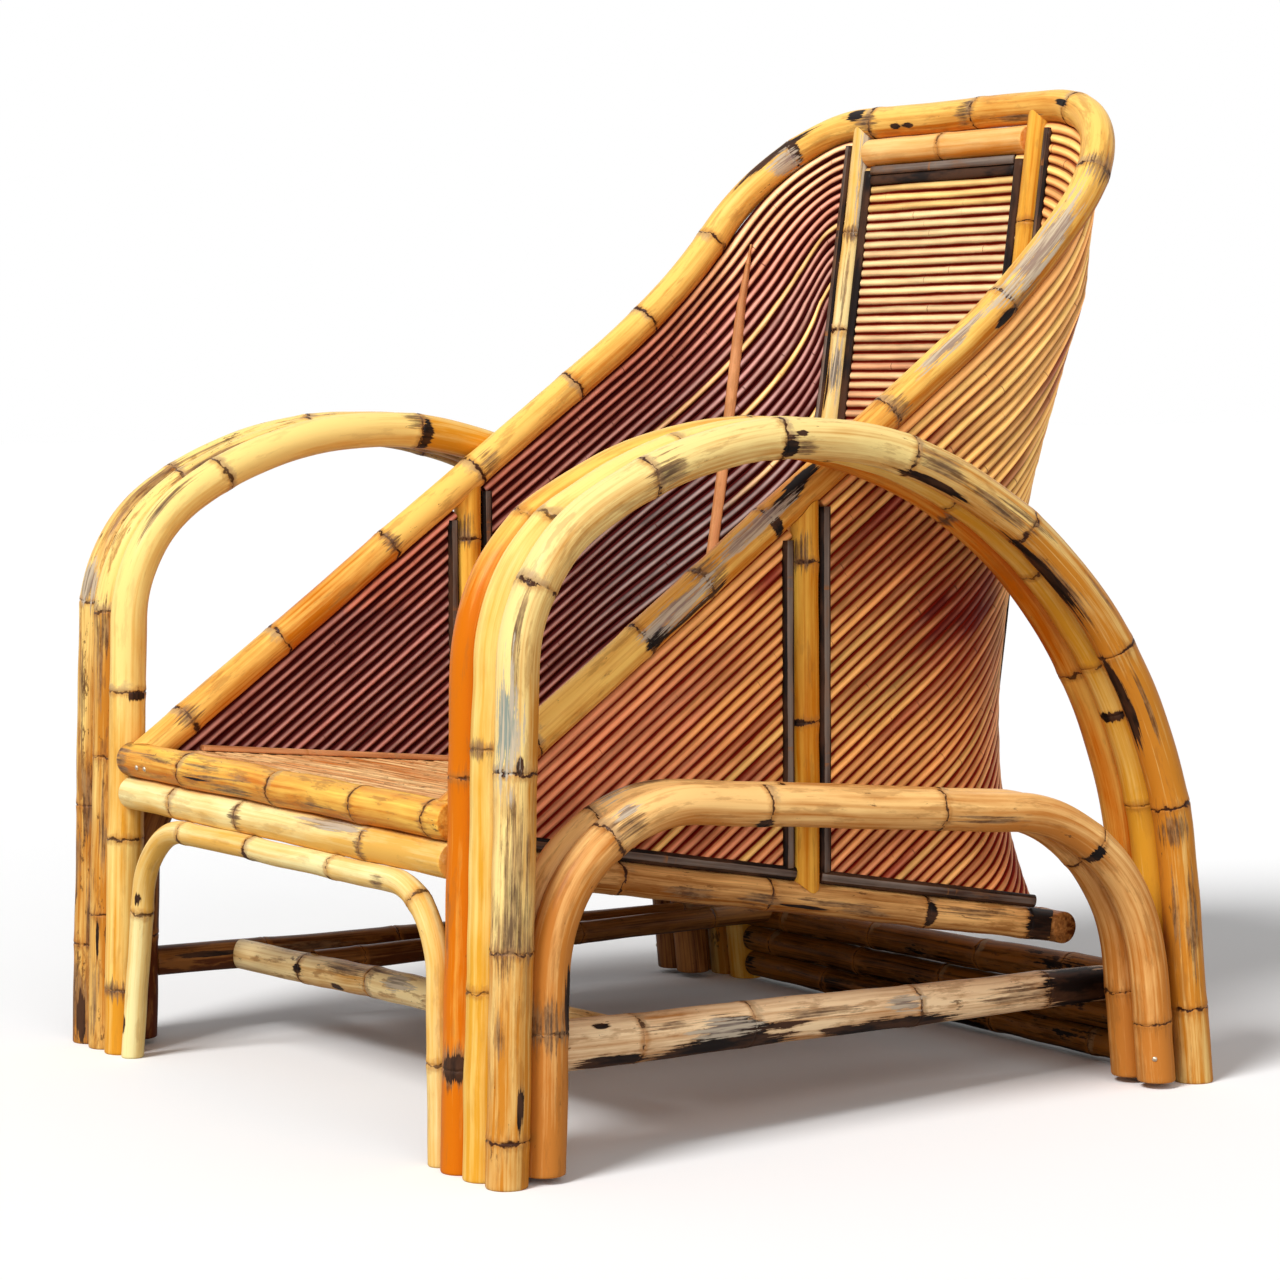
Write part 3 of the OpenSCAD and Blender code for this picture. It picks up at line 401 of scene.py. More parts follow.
fleck = w.step(spots, limit, w.calc("ADD", limit, 0.05))
color = w.blend(w.times(fleck, 0.8), color, (0.12, 0.05, 0.015))
stain = w.times(w.step(w.cloud(own, 90, 17, 5, 0.66), 0.53, 0.63), w.times(given["Flecks"], 0.8))
color = w.blend(stain, color, (0.33, 0.125, 0.025))
jag = w.sway(w.cloud(own, 95, 95, 4, 0.6), 0.015)
away = w.from_ring(jag)
color = w.blend(w.step(away, 0.001, 0.008, 0.6, 0.0), color, (0.42, 0.15, 0.025))
drip = w.times(w.step(streaks, 0.53, 0.62), w.step(away, 0.002, 0.018, 0.8, 0.0))
color = w.blend(w.times(drip, given["Flecks"]), color, (0.20, 0.075, 0.02))
scar = w.step(w.calc("ADD", w.read("past"), w.times(jag, 2.0)), 0.005, 0.011, 0.5, 0.0)
scar = w.times(scar, w.step(w.read("tone_and_painted_light"), 0.15, 0.45))
color = w.blend(w.times(scar, given["Ring"]), color, (0.42, 0.30, 0.17))
thick = w.times(w.cloud(own, 60, 20, 2, 0.5), 0.0100, w.times(given["Ring"], 0.004, -0.0070))
thick = w.calc("MAXIMUM", thick, 0.0005)
broken = w.step(w.cloud(own, 70, 2, 2, 0.5), 0.34, 0.44)
line = w.times(w.times(w.step(away, w.times(thick, 0.35), thick, 1.0, 0.0), broken), given["Ring"])
color = w.blend(line, color, (0.050, 0.015, 0.005))
edge = w.sway(w.cloud(own, 80, 30, 6, 0.72), 1.3, w.sway(streaks, 2.4, -0.14))
near_smoke = w.calc("ADD", w.read("smoke"), edge)
smoked = w.times(w.step(near_smoke, -0.05, 0.45, 0.0, 0.85), w.step(streaks, 0.36, 0.60, 0.55, 1.0))
color = w.blend(smoked, color, w.blend(w.step(spots, 0.40, 0.62), (0.31, 0.17, 0.075), (0.10, 0.042, 0.020)))
color = w.blend(w.step(near_smoke, 0.55, 0.95, 0.0, 0.75), color, (0.095, 0.052, 0.030))
wild = w.times(w.calc("ADD", w.cloud(own, 34, 11, 6, 0.66), w.times(given["Burnt"], 0.22, -0.82)), 3.0)
# The scorch channel is real scorch on the canes; on the strips it also paints their dark sides and the panel's painted
# shadow strip.
near_burn_and_shade = w.calc("MAXIMUM", w.times(w.read("scorch"), 1.7, edge), w.times(edge, 0.45, wild))
color = w.blend(w.step(near_burn_and_shade, -0.30, 0.25, 0.0, 0.75), color, (0.27, 0.115, 0.035))
char_and_shade = w.blend(w.step(drift, 0.42, 0.62), (0.010, 0.006, 0.005), (0.070, 0.030, 0.015))
burn_and_shade = w.step(near_burn_and_shade, 0.05, 0.18)
color = w.blend(burn_and_shade, color, char_and_shade)
grey = w.step(w.calc("ADD", w.read("bloom"), edge), 0.0, 0.30, 0.0, 0.9)
color = w.blend(grey, color, w.blend(w.step(streaks, 0.42, 0.58), given["Bark"], (0.56, 0.46, 0.34)))
rough = w.times(w.calc("MAXIMUM", burn_and_shade, grey), 0.18, w.sway(fibres, 0.25, 0.40))
height = w.times(line, -0.7, w.times(fibres, 0.35, w.times(fine, 0.12)))
height = w.times(w.calc("MAXIMUM", burn_and_shade, fleck), -0.25, height)
w.add("NodeGroupOutput", {"Color": color, "Roughness": rough, "Height": height})


def cane_look(name, pale, deep, flecks, fibres, ring, seed, burnt=0.0, bark=(0.21, 0.16, 0.13), gloss=0.1):
    """Varnished cane between a pale and a deep colour."""
    return varnished(name, cane_skin, {"Pale": pale, "Deep": deep, "Flecks": flecks, "Fibres": fibres, "Ring": ring,
                                       "Burnt": burnt, "Seed": seed, "Bark": bark}, 0.35, 0.0008, 0.25, gloss)


REAR_ANGLE = 84.0
arm_length, arm_flat = bent_path((0, 0), 88, [(429, 0), (152, -56), (403, -51), (464, -65), (220, 0)])
arm_length = foot_length(arm_flat, arm_length, 0.0)


def arm_pole(word, x, look, slot, seed, rings, shades=((0, -0.5), (190, -0.4), (230, 0.0), (300, 0.1), (560, 0.7),
                                                       (900, 0.6), (1060, -0.1), (1250, -0.9), (1665, -1.1)), **marks):
    """One pole of an arm: the arm's bent line at the distance x from the middle, level at both feet."""
    cane("arm_pole_" + word, (arm_length, side_plane(arm_flat, x)), ARM_R, look, slot, seed, rings,
         ends=("floor", "floor"), shades=shades, **marks)


arm_pole("outer_left", ARM_X + 2 * PITCH, cane_look("cane_tan_mottled", (1.0, 0.74, 0.28), (0.60, 0.22, 0.02),
                                                    0.45, 0.9, 1.0, 1.3, bark=(0.18, 0.25, 0.245)), "cane_tan", 11,
         (40, 196, 344, 498, 642, 780, 922, 1070, 1232, 1398, 1592), bloom=((381, -60, 60, 44),),
         scorch=((350, -20, 9, 12), (68, 0, 24, 11), (796, -15, 7, 12), (784, 30, 10, 40), (955, 62, 50, 20),
                 (1120, 82, 70, 30), (1282, 88, 56, 26)),
         smoke=((420, -40, 50, 14), (255, -32, 76, 56), (218, -38, 44, 90), (205, -20, 22, 120), (230, -20, 60, 20),
                (460, -45, 40, 12), (127, -62, 24, 26), (656, 0, 24, 60), (800, 30, 16, 40), (950, 0, 40, 46),
                (1030, 20, 60, 24), (1130, 60, 80, 26), (1060, -10, 50, 12), (1290, 20, 60, 10), (1180, -20, 50, 10),
                (1419, 40, 18, 60), (1507, 3, 60, 26), (1500, 60, 50, 14)))
arm_pole("middle_left", ARM_X + PITCH, cane_look("cane_pale", (1.0, 0.73, 0.23), (0.78, 0.37, 0.03),
                                                 0.15, 0.8, 0.8, 2.1), "cane_pale", 12,
         (158, 360, 560, 700, 860, 1010, 1130, 1248, 1302, 1398, 1540),
         scorch=((1303, 70, 6, 60),), smoke=((360, -85, 12, 60),))
arm_pole("inner_left", ARM_X, cane_look("cane_amber", (1.0, 0.60, 0.12), (0.68, 0.165, 0.001), 0.3, 0.4, 0.9, 3.7),
         "cane_orange", 13, (88, 334, 560, 800, 1040, 1260, 1480), stray=3,
         shades=((0, -1.9), (430, -1.7), (530, -0.3), (700, 0.4), (1060, 0.2), (1300, -0.4), (1665, -0.8)),
         scorch=((90, -50, 13, 60),), smoke=((92, -55, 20, 200), (1040, 55, 12, 80)))
arm_pole("outer_right", -ARM_X - 2 * PITCH, cane_look("cane_brown_mottled", (1.0, 0.70, 0.22), (0.52, 0.19, 0.02),
                                                      1.0, 0.9, 0.9, 4.9, 0.4), "cane_tan", 14,
         (100, 240, 444, 600, 760, 900, 1060, 1230, 1400, 1570), stray=8,
         bloom=((461, -70, 24, 44),), scorch=((26, -60, 30, 20),),
         smoke=((252, -45, 50, 30), (350, -75, 70, 16), (36, -80, 50, 80), (560, -60, 60, 30), (130, -40, 60, 16),
                (180, -90, 50, 20), (640, -50, 60, 20)))
arm_pole("middle_right", -ARM_X - PITCH, cane_look("cane_tan", (1.0, 0.70, 0.22), (0.56, 0.21, 0.02),
                                                   0.9, 0.9, 0.9, 5.2, 0.2), "cane_tan", 15,
         (134, 292, 436, 590, 740, 880, 1040, 1200, 1360, 1520), stray=7, scorch=((110, -60, 28, 8),),
         smoke=((373, -68, 60, 16), (420, -60, 30, 40), (620, -40, 60, 30), (220, -50, 60, 14), (60, -70, 50, 20)))
arm_pole("inner_right", -ARM_X, cane_look("cane_straw", (1.0, 0.73, 0.24), (0.74, 0.31, 0.02), 0.2, 0.6, 0.9, 6.8),
         "cane_pale", 16, (64, 214, 360, 614, 846, 1010, 1180, 1350, 1520),
         scorch=((852, 20, 8, 70), (356, 5, 6, 40)), smoke=((840, -45, 18, 46), (64, -60, 14, 90), (540, -60, 60, 20)))

# ---- Side hoops -----------------------------------------------------------
# Two canes of the same thickness stand inside each arm, one pole away from its
# legs, and brace it. Their feet end a few millimetres above the floor.
FOOT = 6.0                 # mm between the hoops' feet and the floor
side_length, side_flat = bent_path((36.322, 0), 88, [(172, 0), (138, -93.4), (354.0, 0), (176, -78.6), (150, 0)])
side_length = foot_length(side_flat, side_length, FOOT)
left_look = cane_look("cane_rose_tan", (1.0, 0.60, 0.22), (0.56, 0.195, 0.030), 0.5, 0.6, 0.95, 7.4)
# The far hoops share the near hoops' cane but are painted much darker: a painted shade for the shadow they stand in.
far_hoop_shaded_look = cane_look("cane_maroon_painted_shade", (0.62, 0.26, 0.07), (0.10, 0.02, 0.004), 0.6, 0.8, 0.95, 21.2)
for word, x, look, seed, rings, marks in (
        ("outer_left", ARM_X + 2 * PITCH, left_look, 21, (120, 294, 458, 650, 840, 1038),
         dict(scorch=((146, 40, 34, 22), (456, 58, 10, 26), (843, 40, 8, 40)), bloom=((318, -60, 16, 24),),
              smoke=((128, -22, 26, 90), (312, -20, 20, 50), (700, 20, 60, 14)))),
        ("inner_left", ARM_X + PITCH, left_look, 22, (150, 308, 500, 680, 860, 1012),
         dict(bloom=((332, -105, 20, 60),), smoke=((360, -90, 30, 40),))),
        ("outer_right", -ARM_X - 2 * PITCH, far_hoop_shaded_look, 23, (), dict(stray=8)),
        ("inner_right", -ARM_X - PITCH, far_hoop_shaded_look, 24, (), dict(stray=8))):
    cane("side_hoop_" + word, part_of((side_length, side_plane(side_flat, x)), FOOT), ARM_R, look, "cane_tan", seed,
         rings, ends=("floor", "floor"), **marks,
         shades=((0, -0.7), (200, -0.5), (310, 0.1), (750, 0.0), (900, -0.5), (1095, -0.9)))

# ---- Rear stretchers ------------------------------------------------------
# Three thin canes are stacked between the back legs, near black: burnt patches and a painted shade for the shadow under
# the seat.
ARM_INNER = ARM_X - ARM_R
REACH = ARM_INNER - HAIR   # where the canes that cross between the arms end
rear_foot = arm_flat(np.array([arm_length]))[0, 0]


def rear_axis(number, x):
    """The axis of a rear stretcher, 0 the lowest, at the distance x from the middle. The legs fall at the
    rear angle, y = foot - z / tan; the two upper ones rise 3 and 11 mm towards the left."""
    z = 18 + number * 28.3 + (0, 3, 11)[number] * (x + REACH) / (2 * REACH)
    return np.array([x, rear_foot - z / np.tan(np.radians(REAR_ANGLE)), z])


# Painted shade: the deep colour is near black for the shadow under the seat, with burnt patches.
look_shaded_black = cane_look("cane_burnt_and_shaded", (0.36, 0.12, 0.016), (0.004, 0.0007, 0.0004), 0.9, 1.8, 0.9, 8.3, 1.1, gloss=0.03)
for number, word in enumerate(("low", "middle", "top")):
    cane("rear_stretcher_" + word, straight(rear_axis(number, -REACH), rear_axis(number, REACH)), 14.0, look_shaded_black,
         "cane_dark", 31 + number, up=(0, 0, 1), thick_end=17.0 if number else None)

# ---- Side stretchers, cross stretcher and brace ---------------------------
# Each side has one cane from the side hoop to the rear stretchers, the left one
# thick and tapered. A third joins them at the front, and a thin brace runs from
# it to the back.
THICK, THIN, SIDE_R = 22.0, 17.0, 15.0      # radii: the left one at both ends, the right and cross ones
SIDE_X, LEG_FOOT, CROSS_Y = 370.3, 54.62, 150.0     # their front ends, the legs' axis at the floor, the cross one


def on_front_leg(x, z):
    """The axis of the hoops' front legs, which lean back 2 degrees: y = foot + z tan(2)."""
    return np.array([x, LEG_FOOT + z * np.tan(np.radians(2)), z])


def along(a, b, axis, value):
    """The point of the line a b where one coordinate has the value: a + (b - a) (value - a) / (b - a)."""
    return a + (b - a) * (value - a[axis]) / (b[axis] - a[axis])


left_front, left_rear = on_front_leg(SIDE_X, 106.0), rear_axis(2, ARM_INNER - ARM_R) + [0, -6, -5]
right_front, right_rear = on_front_leg(-SIDE_X, 80.0), rear_axis(2, ARM_R - ARM_INNER) + [0, -6, 5]
look_brown = cane_look("cane_dull_brown", (0.52, 0.22, 0.06), (0.09, 0.022, 0.004), 0.8, 1.1, 0.9, 10.6, 0.3)
cane("side_stretcher_left", straight(left_front, left_rear), THICK,
     cane_look("cane_grey_tan", (1.0, 0.72, 0.42), (0.50, 0.21, 0.06), 0.6, 1.2, 0.9, 9.1, 0.4), "cane_tan", 41,
     (90, 220, 426, 600), up=(0, 0, 1), thick_end=THIN, shades=((0, 0.5), (700, 0.5)),
     bloom=((182, 78, 50, 26), (406, 70, 28, 30)),
     scorch=((46, 42, 11, 12), (61, 140, 44, 34), (185, 140, 90, 44), (150, 165, 60, 40), (196, 105, 40, 60),
             (251, 92, 40, 9), (328, 125, 30, 12), (394, 142, 90, 38), (645, 78, 60, 110)),
     smoke=((133, 62, 40, 14), (560, 90, 70, 40), (300, 70, 60, 20)))
cane("side_stretcher_right", straight(right_front, right_rear), SIDE_R, look_brown, "cane_brown", 42, up=(0, 0, 1),
     scorch=((52, 70, 46, 16),), smoke=((160, 80, 60, 40),))
cross_left, cross_right = (along(a, b, 1, CROSS_Y) for a, b in ((left_front, left_rear), (right_front, right_rear)))
left_r = THICK - (THICK - THIN) * (CROSS_Y - left_front[1]) / (left_rear[1] - left_front[1])
cane("front_stretcher", part_of(straight(cross_right, cross_left), SIDE_R, left_r), SIDE_R,
     cane_look("cane_olive_tan", (1.0, 0.76, 0.37), (0.62, 0.28, 0.05), 0.8, 1.2, 0.9, 22.4, 0.6), "cane_tan", 43,
     (134, 268, 400, 560), up=(0, 0, 1), shades=((0, 0.1), (685, 0.2)), stray=3,
     ends=((cross_right, right_rear - right_front, SIDE_R + HAIR), (cross_left, left_rear - left_front, left_r + HAIR)),
     scorch=((134, 80, 10, 26), (210, 125, 14, 20)), bloom=((328, 57, 34, 36),),
     smoke=((227, 42, 50, 36), (450, 80, 50, 40)))
brace = straight(along(cross_right, cross_left, 0, -203) + [0, 0, 7.5], rear_axis(2, -262) + [0, 0, 7])
cane("brace_stretcher", part_of(brace, 14, 14), 11.5, look_brown, "cane_brown", 44, up=(0, 0, 1),
     ends=((cross_right, cross_left - cross_right, SIDE_R + HAIR),
           (rear_axis(2, 0), rear_axis(2, 100) - rear_axis(2, 0), 14.0 + HAIR)))

# ---- Front rails and front hoop -------------------------------------------
# Two rails lie one on the other between the front legs, the upper one carries
# the seat's edge. A thin hoop stands under them from floor to floor.
RAIL_R, UNDER_R, HOOP_R = 17.0, 16.0, 11.0
rail_y, rail_z = 7.0, 294.0
under_z = rail_z - RAIL_R - UNDER_R - HAIR
look_butter = cane_look("cane_butter", (1.0, 0.85, 0.40), (0.82, 0.44, 0.08), 0.3, 0.6, 0.85, 12.4,
                        bark=(0.30, 0.20, 0.12))
cane("seat_front_rail", straight((-REACH, rail_y, rail_z), (REACH, rail_y, rail_z)), RAIL_R,
     cane_look("cane_amber_gold", (1.0, 0.62, 0.11), (0.62, 0.18, 0.005), 0.7, 0.8, 0.9, 11.8), "cane_orange", 51,
     (132, 312, 464, 590), up=(0, 0, 1), scorch=((170, 100, 30, 6),),
     smoke=((10, 100, 16, 100), (4, 60, 8, 90), (90, 60, 60, 14), (206, 92, 70, 13), (232, 118, 60, 24),
            (266, 76, 40, 8), (180, 60, 70, 12), (400, 110, 50, 8)))
cane("under_front_rail", straight((-REACH, rail_y, under_z), (REACH, rail_y, under_z)), UNDER_R, look_butter,
     "cane_pale", 52, (110, 244, 480), up=(0, 0, 1), bloom=((414, 36, 74, 26),),
     smoke=((410, 50, 70, 14), (244, 80, 14, 70), (480, 90, 12, 70)))
FORWARD, LEFT_BEND, RIGHT_BEND, RIGHT_TURN = 10.0, 72.0, 95.0, np.radians(80)
hoop_z = under_z - np.sqrt((UNDER_R + HOOP_R + HAIR) ** 2 - FORWARD ** 2)
hoop_x = ARM_INNER - HOOP_R - HAIR
right_leg = (hoop_z - RIGHT_BEND * (1 - np.cos(RIGHT_TURN))) / np.sin(RIGHT_TURN)
right_end = -hoop_x + right_leg * np.cos(RIGHT_TURN) + RIGHT_BEND * np.sin(RIGHT_TURN)
hoop_length, hoop_flat = bent_path((-hoop_x, 0), 80, [
    (right_leg, 0), (RIGHT_BEND, -80), (hoop_x - LEFT_BEND - right_end, 0), (LEFT_BEND, -90), (hoop_z - LEFT_BEND, 0)])


def hoop_path(s):
    """The hoop's flat line, upright in front of the rails."""
    return np.insert(hoop_flat(s), 1, rail_y - FORWARD, -1)


cane("front_hoop", (hoop_length, hoop_path), HOOP_R, look_butter, "cane_pale", 53, (150, 298, 432, 590, 735, 880),
     up=(0, 1, 0), ends=("floor", "floor"), sides=28,
     scorch=((432, -140, 6, 50), (166, -145, 9, 22), (34, 155, 11, 34)),
     smoke=((440, -110, 26, 70), (677, -152, 14, 50)))

# ---- Rim pole -------------------------------------------------------------
# One cane starts on the front rail, climbs each side of the tub, curves up into
# the back and crosses the top with two tight bends.
RIM_R, RIM_STRAIGHT, RIM_BEND, SLOPE, RISE = 16.5, 679.0, 140.0, np.radians(35.5), np.radians(50.0)
RIM_X = ARM_INNER - RIM_R - HAIR
rim_side_length, rim_side_flat = bent_path((rail_y, rail_z), 35.5, [(RIM_STRAIGHT, 0), (780, 50.0 - 35.5)])
rim_corner = rim_side_flat(np.array([rim_side_length - 1e-6]))[0]
rim_top_length, rim_top_flat = bent_path((RIM_X, 0), 90, [(RIM_BEND, 90), (2 * (RIM_X - RIM_BEND), 0),
                                                          (RIM_BEND, 90)])
rim_length = 2 * rim_side_length + rim_top_length
rim_top_y, rim_top_z = rim_corner + RIM_BEND * np.array([np.cos(RISE), np.sin(RISE)])


def rim_path(s):
    """Left side up, across the top to the right, and down the right side."""
    s = np.asarray(s, float)
    first = side_plane(rim_side_flat, RIM_X)(np.minimum(s, rim_side_length))
    x, rise = np.moveaxis(rim_top_flat(s - rim_side_length), -1, 0)
    top = np.stack([x, rim_corner[0] + rise * np.cos(RISE), rim_corner[1] + rise * np.sin(RISE)], -1)
    last = side_plane(rim_side_flat, -RIM_X)(np.minimum(rim_length - s, rim_side_length))
    out = np.where((s < rim_side_length)[..., None], first, top)
    return np.where((s > rim_length - rim_side_length)[..., None], last, out)


def rim_up(s, tangent):
    """Square to the rim and to its bending plane at the top; square to X along the sides."""
    side = np.stack([np.zeros(len(s)), -tangent[:, 2], tangent[:, 1]], 1)
    side[s > rim_length / 2] *= -1
    here = (s > rim_side_length) & (s < rim_length - rim_side_length)
    return np.where(here[:, None], [0, -np.sin(RISE), np.cos(RISE)], side)


def rim_z(y):
    """The height of the rim's straight front part: z = rail z + (y - rail y) tan(slope)."""
    return rail_z + (y - rail_y) * np.tan(SLOPE)


def crossing(y, z, radius):
    """What a cane's end is cut round: a level pole across the chair, a hair larger."""
    return (0, y, z), (1, 0, 0), radius + HAIR


cane("rim_pole", part_of((rim_length, rim_path), 16, 16), RIM_R,
     cane_look("cane_rim", (1.0, 0.61, 0.14), (0.60, 0.175, 0.006), 0.5, 0.7, 1.0, 13.9, bark=(0.26, 0.185, 0.165)),
     "cane_tan", 61,
     (88, 230, 310, 398, 564, 735, 904, 1034, 1186, 1354, 1482, 1618, 1740, 1856, 2006, 2132, 2288, 2416),
     ends=(crossing(rail_y, rail_z, RAIL_R),) * 2, up=lambda s, tangent: rim_up(s + 16, tangent), stray=3,
     shades=((0, 0.2), (500, 0.0), (900, 0.1), (1400, 0.3), (1700, 0.4), (2463, 0.4)),
     bloom=((800, 50, 100, 56), (272, 72, 52, 46), (660, 40, 60, 30), (380, 50, 60, 30), (1492, -66, 24, 60)),
     scorch=((720, 110, 16, 24), (420, 50, 28, 24), (398, 100, 7, 60), (240, 100, 18, 34), (285, 120, 50, 14),
             (450, 30, 30, 24), (1310, -62, 9, 13), (1288, -60, 9, 13), (1476, -50, 8, 60), (1040, -20, 16, 12),
             (1380, 0, 16, 30)),
     smoke=((902, 80, 24, 70), (746, 105, 40, 20), (572, 80, 16, 60), (314, 70, 24, 70), (1112, -75, 40, 24),
            (1196, -40, 18, 60), (1360, -40, 20, 60), (1990, -80, 18, 60), (2132, -70, 12, 50), (2416, -60, 18, 50)))

# ---- Lower rails, posts and crossbar of the tub ---------------------------
# Thin canes under and behind the reeds: a rail falls to the back on each side,
# one crosses the back, and posts stand between them and the rim.
RAIL_FALL, RAKE = np.radians(10.0), np.radians(8.1)
LOW_R, POST_R, BACK_R, CROSSBAR_R = 15.0, 14.0, 13.0, 14.6
POST_Y, BACK_X, back_rail_y = 385.0, 142.0, 680.0


def side_rail_z(y):
    """The height of a lower side rail: z = under rail's z - (y - rail y) tan(fall)."""
    return under_z - (y - rail_y) * np.tan(RAIL_FALL)


def back_y(z):
    """The back's plane: 3 mm before the rim at its top, and forward by tan(rake) for each mm down."""
    return rim_top_y - 3 - (rim_top_z - z) * np.tan(RAKE)


back_rail_z = side_rail_z(back_rail_y)
look_side_rail = cane_look("cane_rail", (0.98, 0.55, 0.19), (0.28, 0.085, 0.010), 0.8, 1.1, 1.0, 14.2, 0.35)
look_post = cane_look("cane_post", (1.0, 0.56, 0.08), (0.64, 0.20, 0.003), 0.35, 0.7, 1.0, 15.5)
look_pale_post = cane_look("cane_cream", (1.0, 0.84, 0.42), (0.86, 0.48, 0.09), 0.4, 0.7, 1.0, 19.1,
                           bark=(0.10, 0.095, 0.105))
back_rail = crossing(back_rail_y, back_rail_z, LOW_R)
post_foot, post_top = side_rail_z(POST_Y), rim_z(POST_Y)
for side, word, look, marks in (
        (1, "left", look_post, dict(smoke=((560, -60, 60, 30), (650, 20, 50, 20)))),
        (-1, "right", look_pale_post, dict(bloom=((735, -12, 110, 52), (520, -62, 44, 40)),
                                           scorch=((500, -100, 30, 14),),
                                           smoke=((664, -60, 12, 60), (600, -60, 60, 16))))):
    x, back_x = side * RIM_X, side * BACK_X
    rail = straight((x, rail_y, side_rail_z(rail_y)), (x, back_rail_y, back_rail_z))
    cane("shell_side_rail_" + word, part_of(rail, 16, 16), LOW_R, look_side_rail, "cane_tan", 71 + side,
         (160, 322, 504, 628), up=(0, 0, 1), ends=(crossing(rail_y, under_z, UNDER_R), back_rail),
         scorch=((506, 90, 7, 60), (640, 80, 18, 120), (360, 120, 30, 9)),
         smoke=((309, 108, 30, 30), (432, 115, 40, 24), (400, 95, 60, 16), (560, 70, 50, 30), (230, 110, 40, 30)))
    cane("side_post_" + word, straight((x, POST_Y, post_foot + 15), (x, POST_Y, post_top - 20)), POST_R, look_post,
         "cane_orange", 74 + side, (146, 290), scorch=((146, -60, 4, 40),), smoke=((300, -40, 20, 60),),
         ends=(((x, POST_Y, post_foot), (0, -np.cos(RAIL_FALL), np.sin(RAIL_FALL)), LOW_R + HAIR),
               ((x, POST_Y, post_top), (0, np.cos(SLOPE), np.sin(SLOPE)), RIM_R + HAIR)))
    post = straight((back_x, back_y(back_rail_z), back_rail_z), (back_x, back_y(rim_top_z), rim_top_z))
    cane("back_post_" + word, part_of(post, 15, 16), BACK_R, look, "cane_orange", 77 + side,
         (130, 290, 440, 560, 664), ends=(back_rail, crossing(rim_top_y, rim_top_z, RIM_R)), **marks)
cane("shell_back_rail", straight((-ARM_INNER, back_rail_y, back_rail_z), (ARM_INNER, back_rail_y, back_rail_z)),
     LOW_R, look_brown, "cane_brown", 81, up=(0, 0, 1))
crossbar_z = rim_top_z - 35
z, x = crossbar_z + 3.6, BACK_X - BACK_R
cane("back_crossbar", straight((-x, back_y(z), z), (x, back_y(z), z)), CROSSBAR_R,
     cane_look("cane_peach", (1.0, 0.64, 0.24), (0.78, 0.28, 0.03), 0.2, 0.6, 0.8, 20.3), "cane_orange", 82,
     up=(0, 0, 1), sides=28)

# ---- Reeds ----------------------------------------------------------------
# Thin reeds lie side by side under the rim, each parallel to it. In front of
# the side post they are straight; behind it they bend round the corner of the
# tub and end at the back post. The back panel's reeds lie level.
REED_R, REED_PITCH = 4.7, 9.8
CORNER_R, WIDEST, TIGHTEST = 200.0, 430.0, 742.0     # the corner's largest radius, and the heights of both ends
SEAT_FRONT = rail_y + RAIL_R + HAIR
POST_EDGE, BACK_EDGE = POST_R + HAIR, BACK_X + BACK_R + HAIR


def corner_r(z):
    """The corner's radius: the widest at one height, less 101 share^1.5 of the way up to the tightest,
    and less 165 share^2.5 of the way down to the back rail."""
    z = np.asarray(z, float)
    high = CORNER_R - 101 * np.clip((z - WIDEST) / (TIGHTEST - WIDEST), 0, 1) ** 1.5
    low = CORNER_R - 165 * np.clip((WIDEST - z) / (WIDEST - back_rail_z), 0, 1) ** 2.5
    return np.where(z >= WIDEST, high, low)


def wall_turn(s, z):
    """How far the wall has turned round its corner, (s - y0) / r from 0 to a quarter, and r and y0."""
    r = corner_r(z)
    y0 = back_y(z) - r
    return np.clip((s - y0) / r, 0, np.pi / 2), r, y0


def wall_point(s, z):
    """The tub's wall, flat side, round corner, flat raked back, by length along it and height."""
    a, r, y0 = wall_turn(s, z)
    x = RIM_X - r + r * np.cos(a) - np.maximum(0, s - y0 - r * np.pi / 2)
    return np.stack([x, np.where(s < y0, s, y0 + r * np.sin(a)), z], -1)


def wall_out(s, z):
    """The wall's outward way: (cos a, sin a, -sin a tan(rake)) for the turn a."""
    a = wall_turn(s, z)[0]
    return unit(np.stack([np.cos(a), np.sin(a), -np.sin(a) * np.tan(RAKE)], -1))


def wall_length(p):
    """The length along the wall of points on it: y, then y0 + r angle, then on by the way from the corner."""
    x, y, z = p.T
    r = corner_r(z)
    x0, y0 = RIM_X - r, back_y(z) - r
    flat_part = y0 + r * np.pi / 2 + x0 - x
    return np.where(y <= y0, y, np.where(x <= x0, flat_part, y0 + r * np.arctan2(y - y0, x - x0)))


def field_end(z):
    """The length along the wall at which the back post's edge begins."""
    r = corner_r(z)
    return back_y(z) - r + r * np.pi / 2 + RIM_X - r - BACK_EDGE


def field_floor(s):
    """The lowest height of a reed's axis: the lower rail's top and seven tenths of the reed."""
    return side_rail_z(np.minimum(s, back_rail_y - LOW_R)) + (LOW_R + HAIR) / np.cos(RAIL_FALL) + REED_R * 0.7


def under_rim(k):
    """How far reed number k lies from the rim's axis."""
    return RIM_R + HAIR + REED_R + k * REED_PITCH


